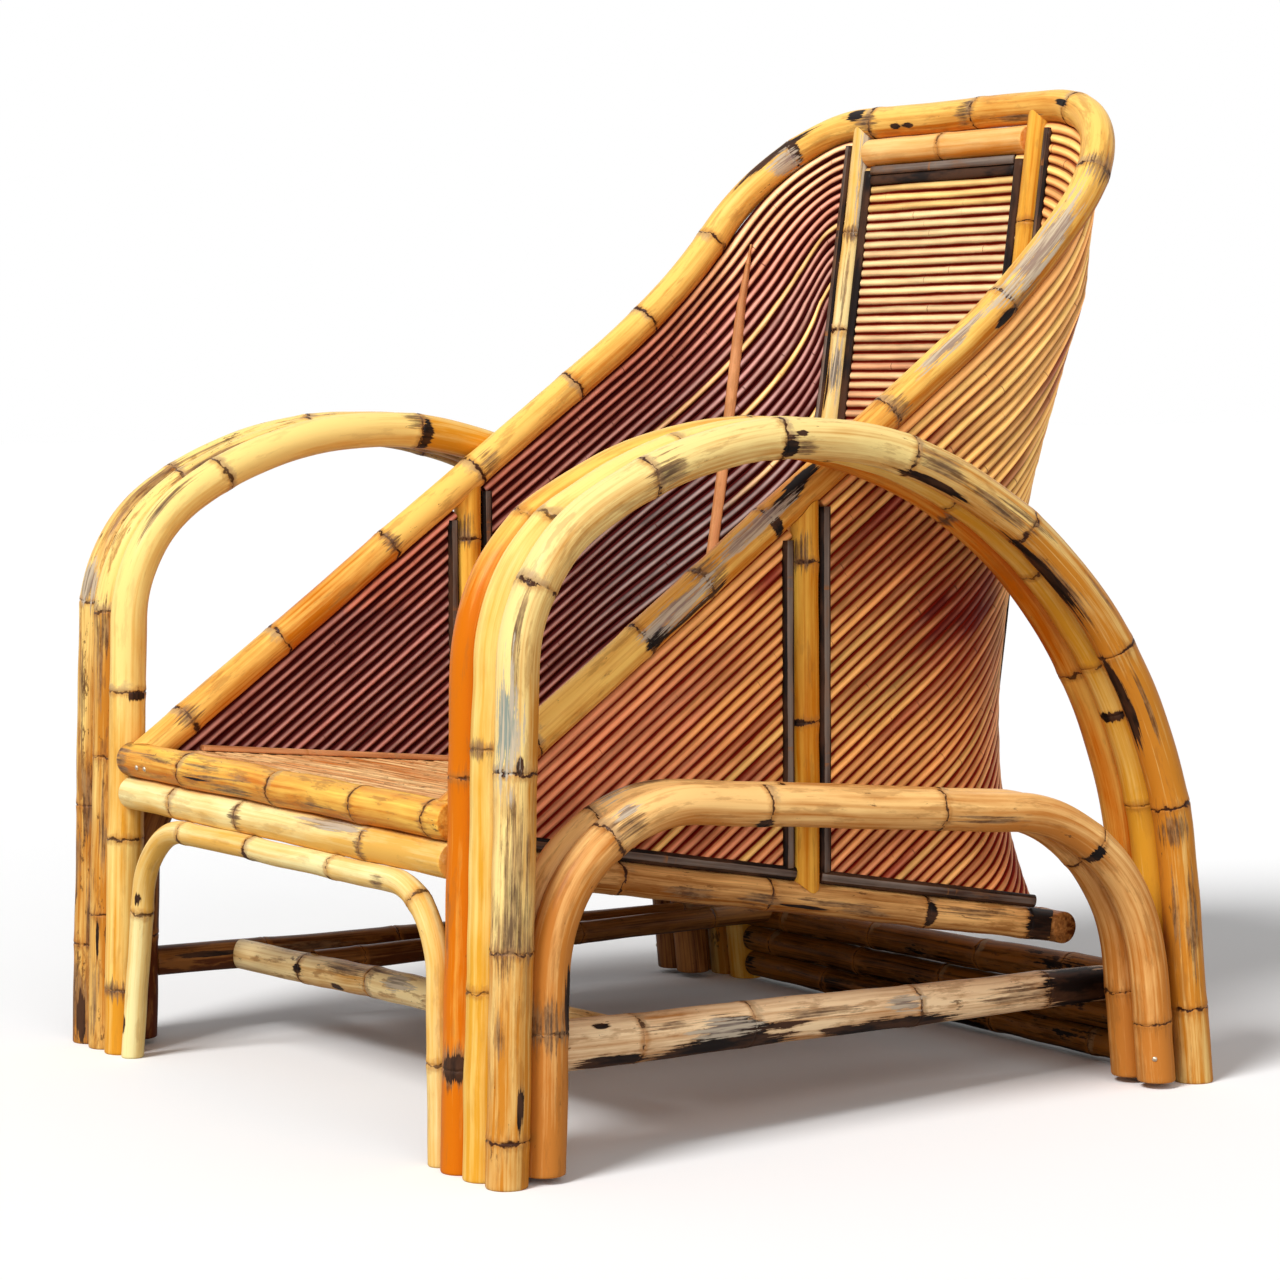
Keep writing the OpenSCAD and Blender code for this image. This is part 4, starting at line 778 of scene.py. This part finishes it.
def reed_lines():
    """Each reed as wall lengths and heights: the rim's line on the wall, moved square to itself by a
    whole number of pitches, and kept where it lies behind the side post and above the lower rail."""
    t = np.arange(0, rim_side_length + rim_top_length / 2, 4.0)
    rim, before, after = rim_path(t), rim_path(t - 4), rim_path(t + 4)
    flat = np.stack([wall_length(rim), rim[:, 2]], 1)
    run = np.stack([wall_length(after) - wall_length(before), after[:, 2] - before[:, 2]], 1)
    front = t < RIM_STRAIGHT
    flat[front], run[front] = rim[front][:, 1:], [np.cos(SLOPE), np.sin(SLOPE)]
    run = unit(run)
    lines = []
    for k in range(60):
        line = flat + under_rim(k) * np.stack([run[:, 1], -run[:, 0]], 1)
        s, z = line.T
        inside = (s > POST_Y + POST_EDGE + REED_R * 0.58) & (z > field_floor(s))
        if not inside.any():
            break
        start = inside.argmax()
        past = np.nonzero(s[start:] > field_end(z[start:]))[0]
        stop = start + (past[0] if len(past) else len(s))
        if stop - start > 4:
            lines.append(line[start:stop])
    return lines


def snug(axes):
    """A radius for every point of every reed: half its distance, square to the next reed, to the
    neighbour that lies farther off, and a tenth of a millimetre more, so that no light comes through."""
    radii = []
    for k, axis in enumerate(axes):
        best = np.full(len(axis), REED_PITCH / 2)
        for turn, other in enumerate(axes[max(0, k - 1):k] + axes[k + 1:k + 2]):
            away = axis[:, None] - other[None]
            near = (away ** 2).sum(-1).argmin(1)
            inside = (near > 0) & (near < len(other) - 1)
            run = unit(np.gradient(other, axis=0))[near]
            away = away[np.arange(len(axis)), near]
            half = np.linalg.norm(away - (away * run).sum(1, keepdims=True) * run, axis=1) / 2
            best = np.where(inside, np.maximum(best, half) if turn else half, best)
        radii.append(np.clip(best + (1.0 if k == 0 else 0.12), REED_R * 0.8, REED_R * 1.3))
    return radii


def lengths_along(points):
    """The length from the first point to each one."""
    return np.concatenate([[0], np.cumsum(np.linalg.norm(np.diff(points, axis=0), axis=1))])


def lay_reeds(node, reeds, look):
    """Many reeds in one piece. Each is (axis points, outward vectors, dye, depth of the painted shade in its groove,
    seed), a tube of twelve sides with a ridge at each growth ring. Its skin reads groove = |sin| of the turn round
    the reed, and dye = its colour with the depth of the groove's painted shade as alpha."""
    theta = np.arange(12) * 2 * np.pi / 12
    tubes = []
    for number, (radius, reed) in enumerate(zip(snug([reed[0] for reed in reeds]), reeds)):
        centre, out, dye, depth, seed = reed
        rng = np.random.default_rng(seed)
        out, across = square_to(unit(np.gradient(centre, axis=0)), out)
        s = lengths_along(centre)
        rings = np.cumsum(rng.uniform(70, 190, 16)) - rng.uniform(0, 70)
        size = radius * rng.uniform(1.0, 1.04) * (1 + slow_wave(rng, s, 0.012, 30, 160))
        size = size + 0.35 * np.exp(-(np.abs(s[:, None] - rings).min(1) / 5.0) ** 2)
        centre = centre + out * slow_wave(rng, s, 0.5, 80, 300)[:, None]
        shade = np.column_stack([dye, np.broadcast_to(depth, len(s))])
        own = grain(REED_R * np.cos(theta) + 370 * number, REED_R * np.sin(theta), s)
        tubes.append((centre[:, None] + size[:, None, None] * around(out, across, theta),
                      dict(ring_gaps(s, rings), tone_and_painted_light=rng.normal(0, 0.4), groove=np.abs(np.sin(theta)),
                           dye=np.repeat(shade[:, None], len(theta), 1), grain=own)))
    make(node + "_laid", tubes, look, node)


# Reed skin: each reed has its own dye along its length, a painted highlight on its crown and crest, a
# painted shade in the groove where it lies against its neighbours, fine fibres, flecks and small dark growth rings.
reed_skin, w, given = new_skin("reed_skin", Groove=(0.10, 0.022, 0.025), Width=0.62, Flecks=0.4, Crown=1.3,
                               Crest=(0.2, 0.12, 0.08))
own, groove, dye, width = w.read("grain", "Vector"), w.read("groove"), w.read("dye", "Color"), given["Width"]
fibres, patch = w.cloud(own, 900, 22, 3, 0.6), w.cloud(own, 60, 14, 3, 0.55)
worn = w.cloud(own, 160, 40, 4, 0.6)
shade = w.times(w.read("tone_and_painted_light"), 0.25, w.sway(patch, 1.1, w.sway(fibres, 0.6, 1.0)))
# Painted light and shade: the crown that faces out is brightened by the crown factor, the sides fall to 0.72.
shade = w.times(shade, w.step(groove, 0.05, w.calc("ADD", width, 0.1), given["Crown"], 0.72))
color = w.add("ShaderNodeVectorMath", {0: dye, "Scale": shade}, operation="SCALE").outputs[0]
# Painted highlight: a pale colour is added in patches along the crest, where the dye is not too dark.
crest_highlight = w.times(w.step(groove, 0.0, 0.5, 1.0, 0.0), w.step(patch, 0.30, 0.62, 0.35, 1.0))
crest_highlight = w.times(crest_highlight, w.step(dye, 0.02, 0.055, 0.12, 1.0))
color = w.blend(crest_highlight, color, given["Crest"], "ADD")
fleck = w.step(worn, w.times(given["Flecks"], -0.14, 0.76), 0.80)
color = w.blend(w.times(fleck, 0.8), color, (0.08, 0.02, 0.012))
away = w.from_ring(w.sway(w.cloud(own, 160, 160, 2, 0.55), 0.004))
color = w.blend(w.step(away, 0.0006, 0.0022, 0.7, 0.0), color, (0.10, 0.03, 0.018))
# Painted shade: where a reed lies against its neighbours it is darkened to the groove colour, as deep as the dye's
# alpha.
groove_shade = w.times(w.step(w.sway(worn, 0.35, groove), width, w.calc("ADD", width, 0.24)), w.read("dye", "Alpha"))
w.add("NodeGroupOutput", {"Color": w.blend(groove_shade, color, given["Groove"]),
                          "Roughness": w.times(groove_shade, 0.2, w.times(fibres, 0.2, 0.40)),
                          "Height": w.times(groove_shade, -0.3, w.times(fibres, 0.35))})


def reed_look(name, groove, width, flecks, crown_light, crest_highlight):
    """Varnished reed with the colours of the painted shade in its grooves and of the painted highlight on its crest;
    the reeds carry their own dye.
    """
    return varnished(name, reed_skin, {"Groove": groove, "Width": width, "Flecks": flecks, "Crown": crown_light,
                                       "Crest": crest_highlight}, 0.4, 0.0005, 0.3)


rose, tan = np.array([0.72, 0.24, 0.10]), np.array([0.84, 0.36, 0.09])
gold, plum, corner_shade = np.array([0.98, 0.56, 0.14]), np.array([0.25, 0.075, 0.055]), np.array([0.085, 0.06, 0.055])
cream, wine = np.array([1.0, 0.76, 0.42]), np.array([0.26, 0.045, 0.02])


def mixed(share, a, b):
    """a (1 - share) + b share, with the share held between 0 and 1."""
    share = np.clip(share, 0, 1)[:, None]
    return a * (1 - share) + b * share


def spot(s, z, s0, z0, ds, dz):
    """1 at a place on the wall, falling off as exp(-(s / ds)^2 - (z / dz)^2)."""
    return np.exp(-((s - s0) / ds) ** 2 - ((z - z0) / dz) ** 2)


def dye_left(s, z, k, rng):
    """Outside of the left wall: rose in front and low down, tan above, gold patches and a wine stain behind."""
    color = mixed((s - 240) / 180 + (z - 330) / 160 + rng.normal(0, 0.3), rose, tan)
    if rng.random() < 0.2:
        color = color * 0.15 + gold * 0.85
    color = mixed(spot(s, z, 640, 560, 110, 130) * 0.8 + spot(s, z, 470, 380, 70, 50) * 0.7, color, gold)
    run = s + rng.normal(0, 18)
    for place, share, stain in (((575, 425, 120, 80), 0.75, [1.5, 1.6, 1.0]),
                                ((562, 442, 55, 52), 1.1, [0.42, 0.09, 0.1]),
                                ((500, 520, 60, 45), 0.6, [0.9, 0.5, 0.5]),
                                ((430, 500, 60, 40), 0.5, [1, 1, 1]),
                                ((470, 160, 90, 45), 0.55, [0.9, 0.6, 0.6])):
        color = mixed(spot(run, z, *place) * share, color, wine * stain)
    streak = np.exp(-((s - rng.uniform(80, 720)) / rng.uniform(25, 80)) ** 2) * rng.uniform(0.1, 1.1)
    color = mixed(streak, color, wine * [1.0, 0.6, 0.5])
    color = mixed((z - 500) / 160, color, color * [1.25, 1.25, 1.35] + [0.0, 0.03, 0.02])
    color = mixed(spot(s, z, 640, 230, 130, 90) * 0.5, color, rose)
    return mixed(spot(s, z, 655, 300, 40, 110) * 0.6, color, tan * [1.1, 1.25, 2.6])


def dye_right(s, z, k, rng):
    """Inside of the right wall: plum, tan near the rim in front, gold near the top, and a painted shade low in the
    corner.
    """
    color = mixed((z - 660) / 280 + rng.normal(0, 0.12), plum * rng.uniform(0.7, 1.3), rose * [0.7, 0.9, 1.2])
    rim_near = np.clip((z - rim_z(s)) / 110 + 1, 0, 1) * 0.75 * (z > 430)
    color = mixed(rim_near, color, rose * [1.15, 1.0, 1.1])
    color = mixed(np.clip((z - 690) / 90, 0, 1) * max(0, 0.95 - 0.2 * k), color, gold * [1, 0.95, 1.6])
    color = mixed(0.9 * np.clip((z - 480) / 60, 0, 1) * (rng.random() < 0.14), color, gold)
    # Painted shade: the reeds low in the corner are darkened to near black.
    return mixed(spot(s, z, 640, 470, 150, 130) * 1.2, color, corner_shade)


lines = reed_lines()
way = np.array([np.cos(SLOPE), np.sin(SLOPE)])
for side, word, dye, look, slot in (
        (1, "left", dye_left, reed_look("reed_rose_tan", (0.22, 0.008, 0.001), 0.56, 0.45, 1.25,
                                        (0.20, 0.12, 0.08)), "reed"),
        (-1, "right", dye_right, reed_look("reed_plum", (0.055, 0.001, 0.0005), 0.34, 0.5, 1.3,
                                           (0.34, 0.28, 0.27)), "reed_dark")):
    mirror, other_seed = [side, 1, 1], 500 if side < 0 else 0
    reeds = []
    for k, (s, z) in enumerate(line.T for line in lines):
        color = dye(s, z, k, np.random.default_rng(1000 + k + other_seed))
        # The painted shade in the left wall's grooves is weaker high up at the back.
        depth = 1 - 0.75 * spot(s, z, 760, 660, 190, 170) if side > 0 else 1.0
        reeds.append((wall_point(s, z) * mirror, wall_out(s, z) * mirror, color, depth, 2000 + k * 3 + side))
    lay_reeds("wrapped_reeds_" + word, reeds, look)
    reeds = []
    for k in range(40):
        base = np.array([rail_y, rail_z]) + under_rim(k) * np.array([way[1], -way[0]])
        t = np.arange(0, 700, 1.0)
        s, z = (base + t[:, None] * way).T
        t = t[(s > SEAT_FRONT) & (s < POST_Y - POST_EDGE - REED_R * 0.5) & (z > field_floor(s) - REED_R * 0.2)]
        if len(t) < 12:
            continue
        s, z = (base + np.linspace(t[0], t[-1], max(3, int(len(t) / 10)))[:, None] * way).T
        color = dye(s, z, k, np.random.default_rng(3000 + k + other_seed))
        centre = np.stack([np.full(len(s), side * RIM_X), s, z], 1)
        reeds.append((centre, np.array([side, 0.0, 0.0]), color, 1.0, 4000 + k * 3 + side))
    lay_reeds("front_reeds_" + word, reeds, look)
PANEL_X = BACK_X - BACK_R - 0.4
back_out = np.array([0, np.cos(RAKE), -np.sin(RAKE)])
panel_top, panel_bottom = crossbar_z - 11 - HAIR - REED_R, back_rail_z + LOW_R + HAIR + REED_R
reeds = []
for k in range(int((panel_top - panel_bottom) / np.cos(RAKE) / REED_PITCH) + 1):
    rng = np.random.default_rng(5000 + k)
    z = panel_top - k * REED_PITCH * np.cos(RAKE)
    x = np.linspace(-PANEL_X, PANEL_X, 27)
    share = np.clip((k - 8) / 34 + rng.normal(0, 0.12), 0, 1)
    color = cream * [0.86, 0.80, 0.72] * (1 - share) + rose * [1.05, 1.15, 1.5] * share
    color = gold * [1.0, 1.08, 1.5] if k < 5 else color * rng.uniform(0.85, 1.1)
    centre = np.stack([x, np.full(27, back_y(z)), z + slow_wave(rng, x, 0.22, 120, 400)], 1)
    reeds.append((centre, back_out, np.broadcast_to(color, (27, 3)), 1.0, 6000 + k))
lay_reeds("back_panel_reeds", reeds, reed_look("reed_back", (0.24, 0.014, 0.002), 0.50, 0.3, 1.25,
                                               (0.13, 0.10, 0.05)))

# ---- Beads and corner strips ----------------------------------------------
# Dark half-round beads are pinned over the reeds' cut ends, and a pointed strip
# of split cane covers the line where the reeds turn in each corner.
BEAD_HALF, BEAD_HIGH, BEAD_OFF = 6.2, 4.0, REED_R + HAIR
STRIP_TOP, TOP_BEAD_X = 806.0, 116.0         # the corner strips' tips, the ends of the panel's top bead
FALL = np.radians(5.8)
UNMARKED = dict(scorch=-1.0, bloom=-1.0, smoke=-1.0)
look_bead = cane_look("bead_black_brown", (0.24, 0.185, 0.15), (0.055, 0.026, 0.017), 0.3, 1.4, 0.4, 16.1)
look_strip = cane_look("strip_rose_tan", (0.70, 0.32, 0.13), (0.34, 0.10, 0.03), 0.4, 1.0, 0.6, 17.7)


def strips(node, runs, look, seed):
    """Several half-round strips in one piece: rings of eleven points, (off + height sin a) outward and
    half width cos a across, closed by a flat back. Each run is (points, outward vectors, half width,
    height, off, dark from): it is painted black through the scorch channel where |cos a| is above the last,
    all over when that is -1."""
    rng = np.random.default_rng(seed)
    a = np.linspace(np.pi, 0, 11)
    tubes = []
    for points, out, half, height, off, dark_from in runs:
        s = lengths_along(points)
        half = half * (1 + slow_wave(rng, s, 0.03, 60, 200))
        out, across = square_to(unit(np.gradient(points, axis=0)), out)
        rows = points[:, None] + (off + height * np.sin(a))[:, None] * out[:, None] \
            + (half[:, None] * np.cos(a))[..., None] * across[:, None]
        own = grain(4 * np.cos(a) + 1000 * rng.uniform(0, 9), 4 * np.sin(a), s)
        gaps = ring_gaps(s, np.cumsum(rng.uniform(90, 200, 12)))
        fields = dict(UNMARKED, **gaps, tone_and_painted_light=rng.normal(0, 0.3), grain=own)
        # Black where |cos a| passes dark_from; at -1 all over, which under the panel's top bead is a painted shadow.
        fields["scorch"] = np.maximum((np.abs(np.cos(a)) - dark_from) * 5, -1.0)
        tubes.append((rows, fields))
    make(node + "_strip", tubes, look, node)


def run_of(a, b, out, half=BEAD_HALF, height=BEAD_HIGH, off=BEAD_OFF, dark_from=0.45):
    """A straight strip from a to b, with a ring every 8 mm."""
    a, b = np.array(a, float), np.array(b, float)
    share = np.linspace(0, 1, max(3, int(np.linalg.norm(b - a) / 8)))[:, None]
    return a + share * (b - a), np.array(out, float), half, height, off, dark_from


def wall_run(side, s, z, half, dark_from):
    """A strip along a line of the wall, on its inner face."""
    mirror = [side, 1, 1]
    return wall_point(s, z) * mirror, -wall_out(s, z) * mirror, half, BEAD_HIGH, BEAD_OFF, dark_from


def mat_top(y):
    """The seat's surface, which falls to the back: z = 305 - (y - front) tan(fall)."""
    return 305 - (y - SEAT_FRONT) * np.tan(FALL)


def on_back(x, z):
    """A point of the back's plane."""
    return x, back_y(z), z


seat_z, post_z = mat_top(back_rail_y), rim_top_z - 22.5
rise, drop = (LOW_R + HAIR + 6) / np.cos(RAIL_FALL), (RIM_R + HAIR + 4) / np.cos(SLOPE) + 4
for side, word in ((1, "left"), (-1, "right")):
    x, out = side * RIM_X, np.array([side, 0, 0])
    outer, inner = [], []
    for y in (POST_Y - POST_EDGE - BEAD_HALF, POST_Y + POST_EDGE + BEAD_HALF):
        low, high = (x, y, side_rail_z(y) + rise + 4.9), (x, y, rim_z(y) - drop)
        outer.append(run_of(low, high, out))
        inner.append(run_of(low, high, -out))
    for y0, y1 in ((64, POST_Y - POST_EDGE), (POST_Y + POST_EDGE, 652)):
        outer.append(run_of((x, y0, side_rail_z(y0) + rise), (x, y1, side_rail_z(y1) + rise), out))
    px = side * (BACK_EDGE + BEAD_HALF)
    outer.append(run_of(on_back(px, back_rail_z + 17), on_back(px, post_z), back_out))
    z = np.linspace(seat_z + 8, post_z, 90)
    inner.append(wall_run(side, field_end(z) - 5.8, z, 5.4, 0.4))
    strips("outer_beads_" + word, outer, look_bead, 91 + side)
    strips("inner_beads_" + word, inner, look_bead, 94 + side)
    z = np.linspace(seat_z + 15, STRIP_TOP, 80)
    line = back_y(TIGHTEST) - 0.4 * corner_r(TIGHTEST) - 0.2 * (TIGHTEST - z)
    half = 6.0 * np.clip((STRIP_TOP - z) / 90, 0.06, 1) ** 0.6
    strips("corner_strip_" + word, [wall_run(side, line, z, half, 9.0)], look_strip, 97 + side)
for face, word in ((-1, "front"), (1, "rear")):
    out, top = face * back_out, panel_top
    low = seat_z + 8 if face < 0 else panel_bottom + 4
    px = PANEL_X - BEAD_HALF
    runs = [run_of(on_back(x, low), on_back(x, top), out, dark_from=-1.0) for x in (px, -px)]
    # The flat strip 10 mm under the top bead is black all over: a painted shadow under the bead.
    for z, height, dark_from in ((top, BEAD_HIGH, 0.8), (top - 10, 2.2, -1.0)):
        runs.append(run_of(on_back(-TOP_BEAD_X, z), on_back(TOP_BEAD_X, z), out, 5.2, height, dark_from=dark_from))
    strips("panel_beads_" + word, runs, look_bead, 101 + face)

# ---- Nails ----------------------------------------------------------------
# Small round-headed steel nails hold the front rail to the arm at one end and
# the rear foot of each outer side hoop to the arm beside it.
nail_look, w, shader = new_look("nail_steel")
rust = w.cloud(w.add("ShaderNodeTexCoord").outputs["Object"], 900, 900, 3, 0.55)
w.fill(shader, {"Base Color": w.blend(rust, (0.30, 0.20, 0.12), (0.85, 0.74, 0.58)), "Metallic": 0.8,
                "Roughness": 0.35})


def nail(name, place, out, radius=2.6, height=1.7):
    """A domed head: rings of a flattened half sphere, its rim sunk a little into the cane."""
    first = unit(np.cross(out, [0.31, 0.83, 0.46]))
    rise = np.radians([-20, 0, 25, 50, 75])[:, None, None]
    turn = np.arange(14) * 2 * np.pi / 14
    flat = around(first[None], np.cross(out, first)[None], turn)
    make(name, [(place + radius * np.cos(rise) * flat + height * np.sin(rise) * out, {})], nail_look)


rail_out = np.array([0, -np.cos(np.radians(12)), -np.sin(np.radians(12))])
for number, inward in enumerate((46, 63)):
    nail("nail_rail_%d" % number, np.array([inward - ARM_INNER, rail_y, rail_z]) + 17.2 * rail_out, rail_out)
for side, word in ((1, "left"), (-1, "right")):
    foot = side_plane(side_flat, side * (ARM_X + 2 * PITCH))(np.array([side_length - 24.0]))[0]
    foot_out = unit(np.array([side * 1.0, -0.9, 0]))
    nail("nail_foot_" + word, foot + 17.8 * foot_out, foot_out)

# ---- Seat -----------------------------------------------------------------
# Split canes laid across make the seat's mat, worn to a streaky surface. It
# falls to the back on ledgers and bearers, with a half-round strip each side.
SLAT, BEARER_R = 9.6, 12.0
RIM_ROOM, POST_ROOM = 56.0, 24.0             # the mat is narrower up to here, and this near the side posts
wall_in = RIM_X - REED_R
mat_corner = corner_r(seat_z) - REED_R + 12
mat_back = back_y(seat_z - 6) - BACK_R - HAIR - 1
profile = np.array([[-4.6, -5.6], [4.6, -5.6], [4.78, -0.8], [3.6, -0.2], [0, 0.0], [-3.6, -0.2], [-4.78, -0.8]])
tubes = []
for number, y in enumerate(np.arange(SEAT_FRONT, mat_back - 4, SLAT) + SLAT / 2):
    rng = np.random.default_rng(7000 + number)
    half = wall_in - HAIR
    if y < RIM_ROOM:
        half = RIM_X - RIM_R - 0.6
    if abs(y - POST_Y) < POST_ROOM + SLAT / 2:
        half = RIM_X - POST_R - 0.6
    over = y - (mat_back - mat_corner)
    if over > 0:
        half = float(half - mat_corner + np.sqrt(max(0.0, mat_corner ** 2 - over ** 2)))
    x = np.linspace(-half, half, max(6, int(half / 8)))
    lift = slow_wave(rng, x, 0.25, 60, 200) - rng.uniform(0, 0.7)
    across = y + profile[:, 0]
    rows = np.stack(np.broadcast_arrays(x[:, None], across, mat_top(across) + profile[:, 1]
                                        + lift[:, None] * (profile[:, 1] > -3)), -1)
    gaps = ring_gaps(x, np.cumsum(rng.uniform(100, 220, 9)) - 420)
    tubes.append((rows, dict(UNMARKED, **gaps, tone_and_painted_light=rng.normal(0, 0.2), grain=rows[..., [1, 2, 0]] / 1000)))
make("seat_mat_slats", tubes, cane_look("mat_worn", (1.0, 0.66, 0.30), (0.60, 0.16, 0.02), 1.0, 1.0, 0.3, 18.4, 0.1),
     "seat_mat")
ledger_x = RIM_X - POST_R - HAIR - BEARER_R
ledger_end = float(back_y(seat_z) - corner_r(seat_z) + 20)


def bearer_z(y):
    """The axis of what carries the mat: its top less its 6 mm, the cane's radius and a hair, over cos(fall)."""
    return mat_top(y) - (6 + BEARER_R + HAIR) / np.cos(FALL)


for side, word in ((1, "left"), (-1, "right")):
    x = side * (wall_in - 5.8)
    runs = [run_of((x, y0, mat_top(y0) + HAIR), (x, y1, mat_top(y1) + HAIR), (0, 0, 1), 5.5, 5.5, 0.0, 9.0)
            for y0, y1 in ((70, POST_Y - 23), (POST_Y + 23, ledger_end))]
    strips("seat_edge_strip_" + word, runs, look_strip, 111 + side)
    x = side * ledger_x
    cane("seat_ledger_" + word, straight((x, SEAT_FRONT, bearer_z(SEAT_FRONT)), (x, ledger_end, bearer_z(ledger_end))),
         BEARER_R, look_brown, "cane_brown", 114 + side, up=(0, 0, 1), sides=24)
bearers = [(110 + k * (ledger_end - 110) / 3 * 0.93, ledger_x - BEARER_R - HAIR) for k in range(3)]
for number, (y, half) in enumerate(bearers + [(mat_back - 16, 156.0)], 1):
    cane("seat_bearer_%d" % number, straight((-half, y, bearer_z(y)), (half, y, bearer_z(y))), BEARER_R, look_brown,
         "cane_brown", 120 + number, up=(0, 0, 1), sides=24)

# ---- Floor, light and sky -------------------------------------------------
# A white floor and a white surround, one soft lamp high on the front left, a
# weak one on the camera's right, and an even sky.
WHITE = (1.0, 1.0, 1.0)
floor_mesh = bpy.data.meshes.new("floor")
floor_mesh.from_pydata([(-30, -30, 0), (30, -30, 0), (30, 30, 0), (-30, 30, 0)], [], [(0, 1, 2, 3)])
floor = bpy.data.objects.new("floor", floor_mesh)
bpy.context.scene.collection.objects.link(floor)
floor_look, w, shader = new_look("floor_white")
seen = w.add("ShaderNodeLightPath").outputs["Is Camera Ray"]
w.fill(shader, {"Base Color": w.blend(seen, (0.5, 0.5, 0.5), WHITE), "Roughness": 1.0, "Specular IOR Level": 0.0})
floor_mesh.materials.append(floor_look)

world = bpy.data.worlds.new("surround")
bpy.context.scene.world = world
world.use_nodes = True
w = Wiring(world.node_tree)
sky = world.node_tree.nodes["Background"]
w.fill(sky, {"Color": WHITE, "Strength": 0.30})
white = w.add("ShaderNodeBackground", {"Color": WHITE, "Strength": 1.0})
rays = w.add("ShaderNodeLightPath").outputs
seen = w.calc("MAXIMUM", rays["Is Camera Ray"], rays["Is Glossy Ray"])
seen = w.calc("MAXIMUM", seen, rays["Is Transmission Ray"])
choice = w.add("ShaderNodeMixShader", {0: seen, 1: sky.outputs[0], 2: white.outputs[0]})
w.fill(world.node_tree.nodes["World Output"], {"Surface": choice.outputs[0]})


def far_lamp(name, toward, power, softness):
    """A lamp as far as the sun, shining from the given direction."""
    lamp = bpy.data.lights.new(name, "SUN")
    lamp.energy, lamp.angle = power, np.radians(softness)
    z = unit(np.array(toward, float))
    x = unit(np.cross([0, 0, 1.0], z))
    placed(name, lamp, x, np.cross(z, x), z)


far_lamp("lamp_front_left", (0.25, -0.85, 0.87), 2.8, 20)
far_lamp("lamp_right", (0.92, -0.25, 0.30), 1.0, 50)

bpy.context.scene.view_settings.view_transform = "Standard"
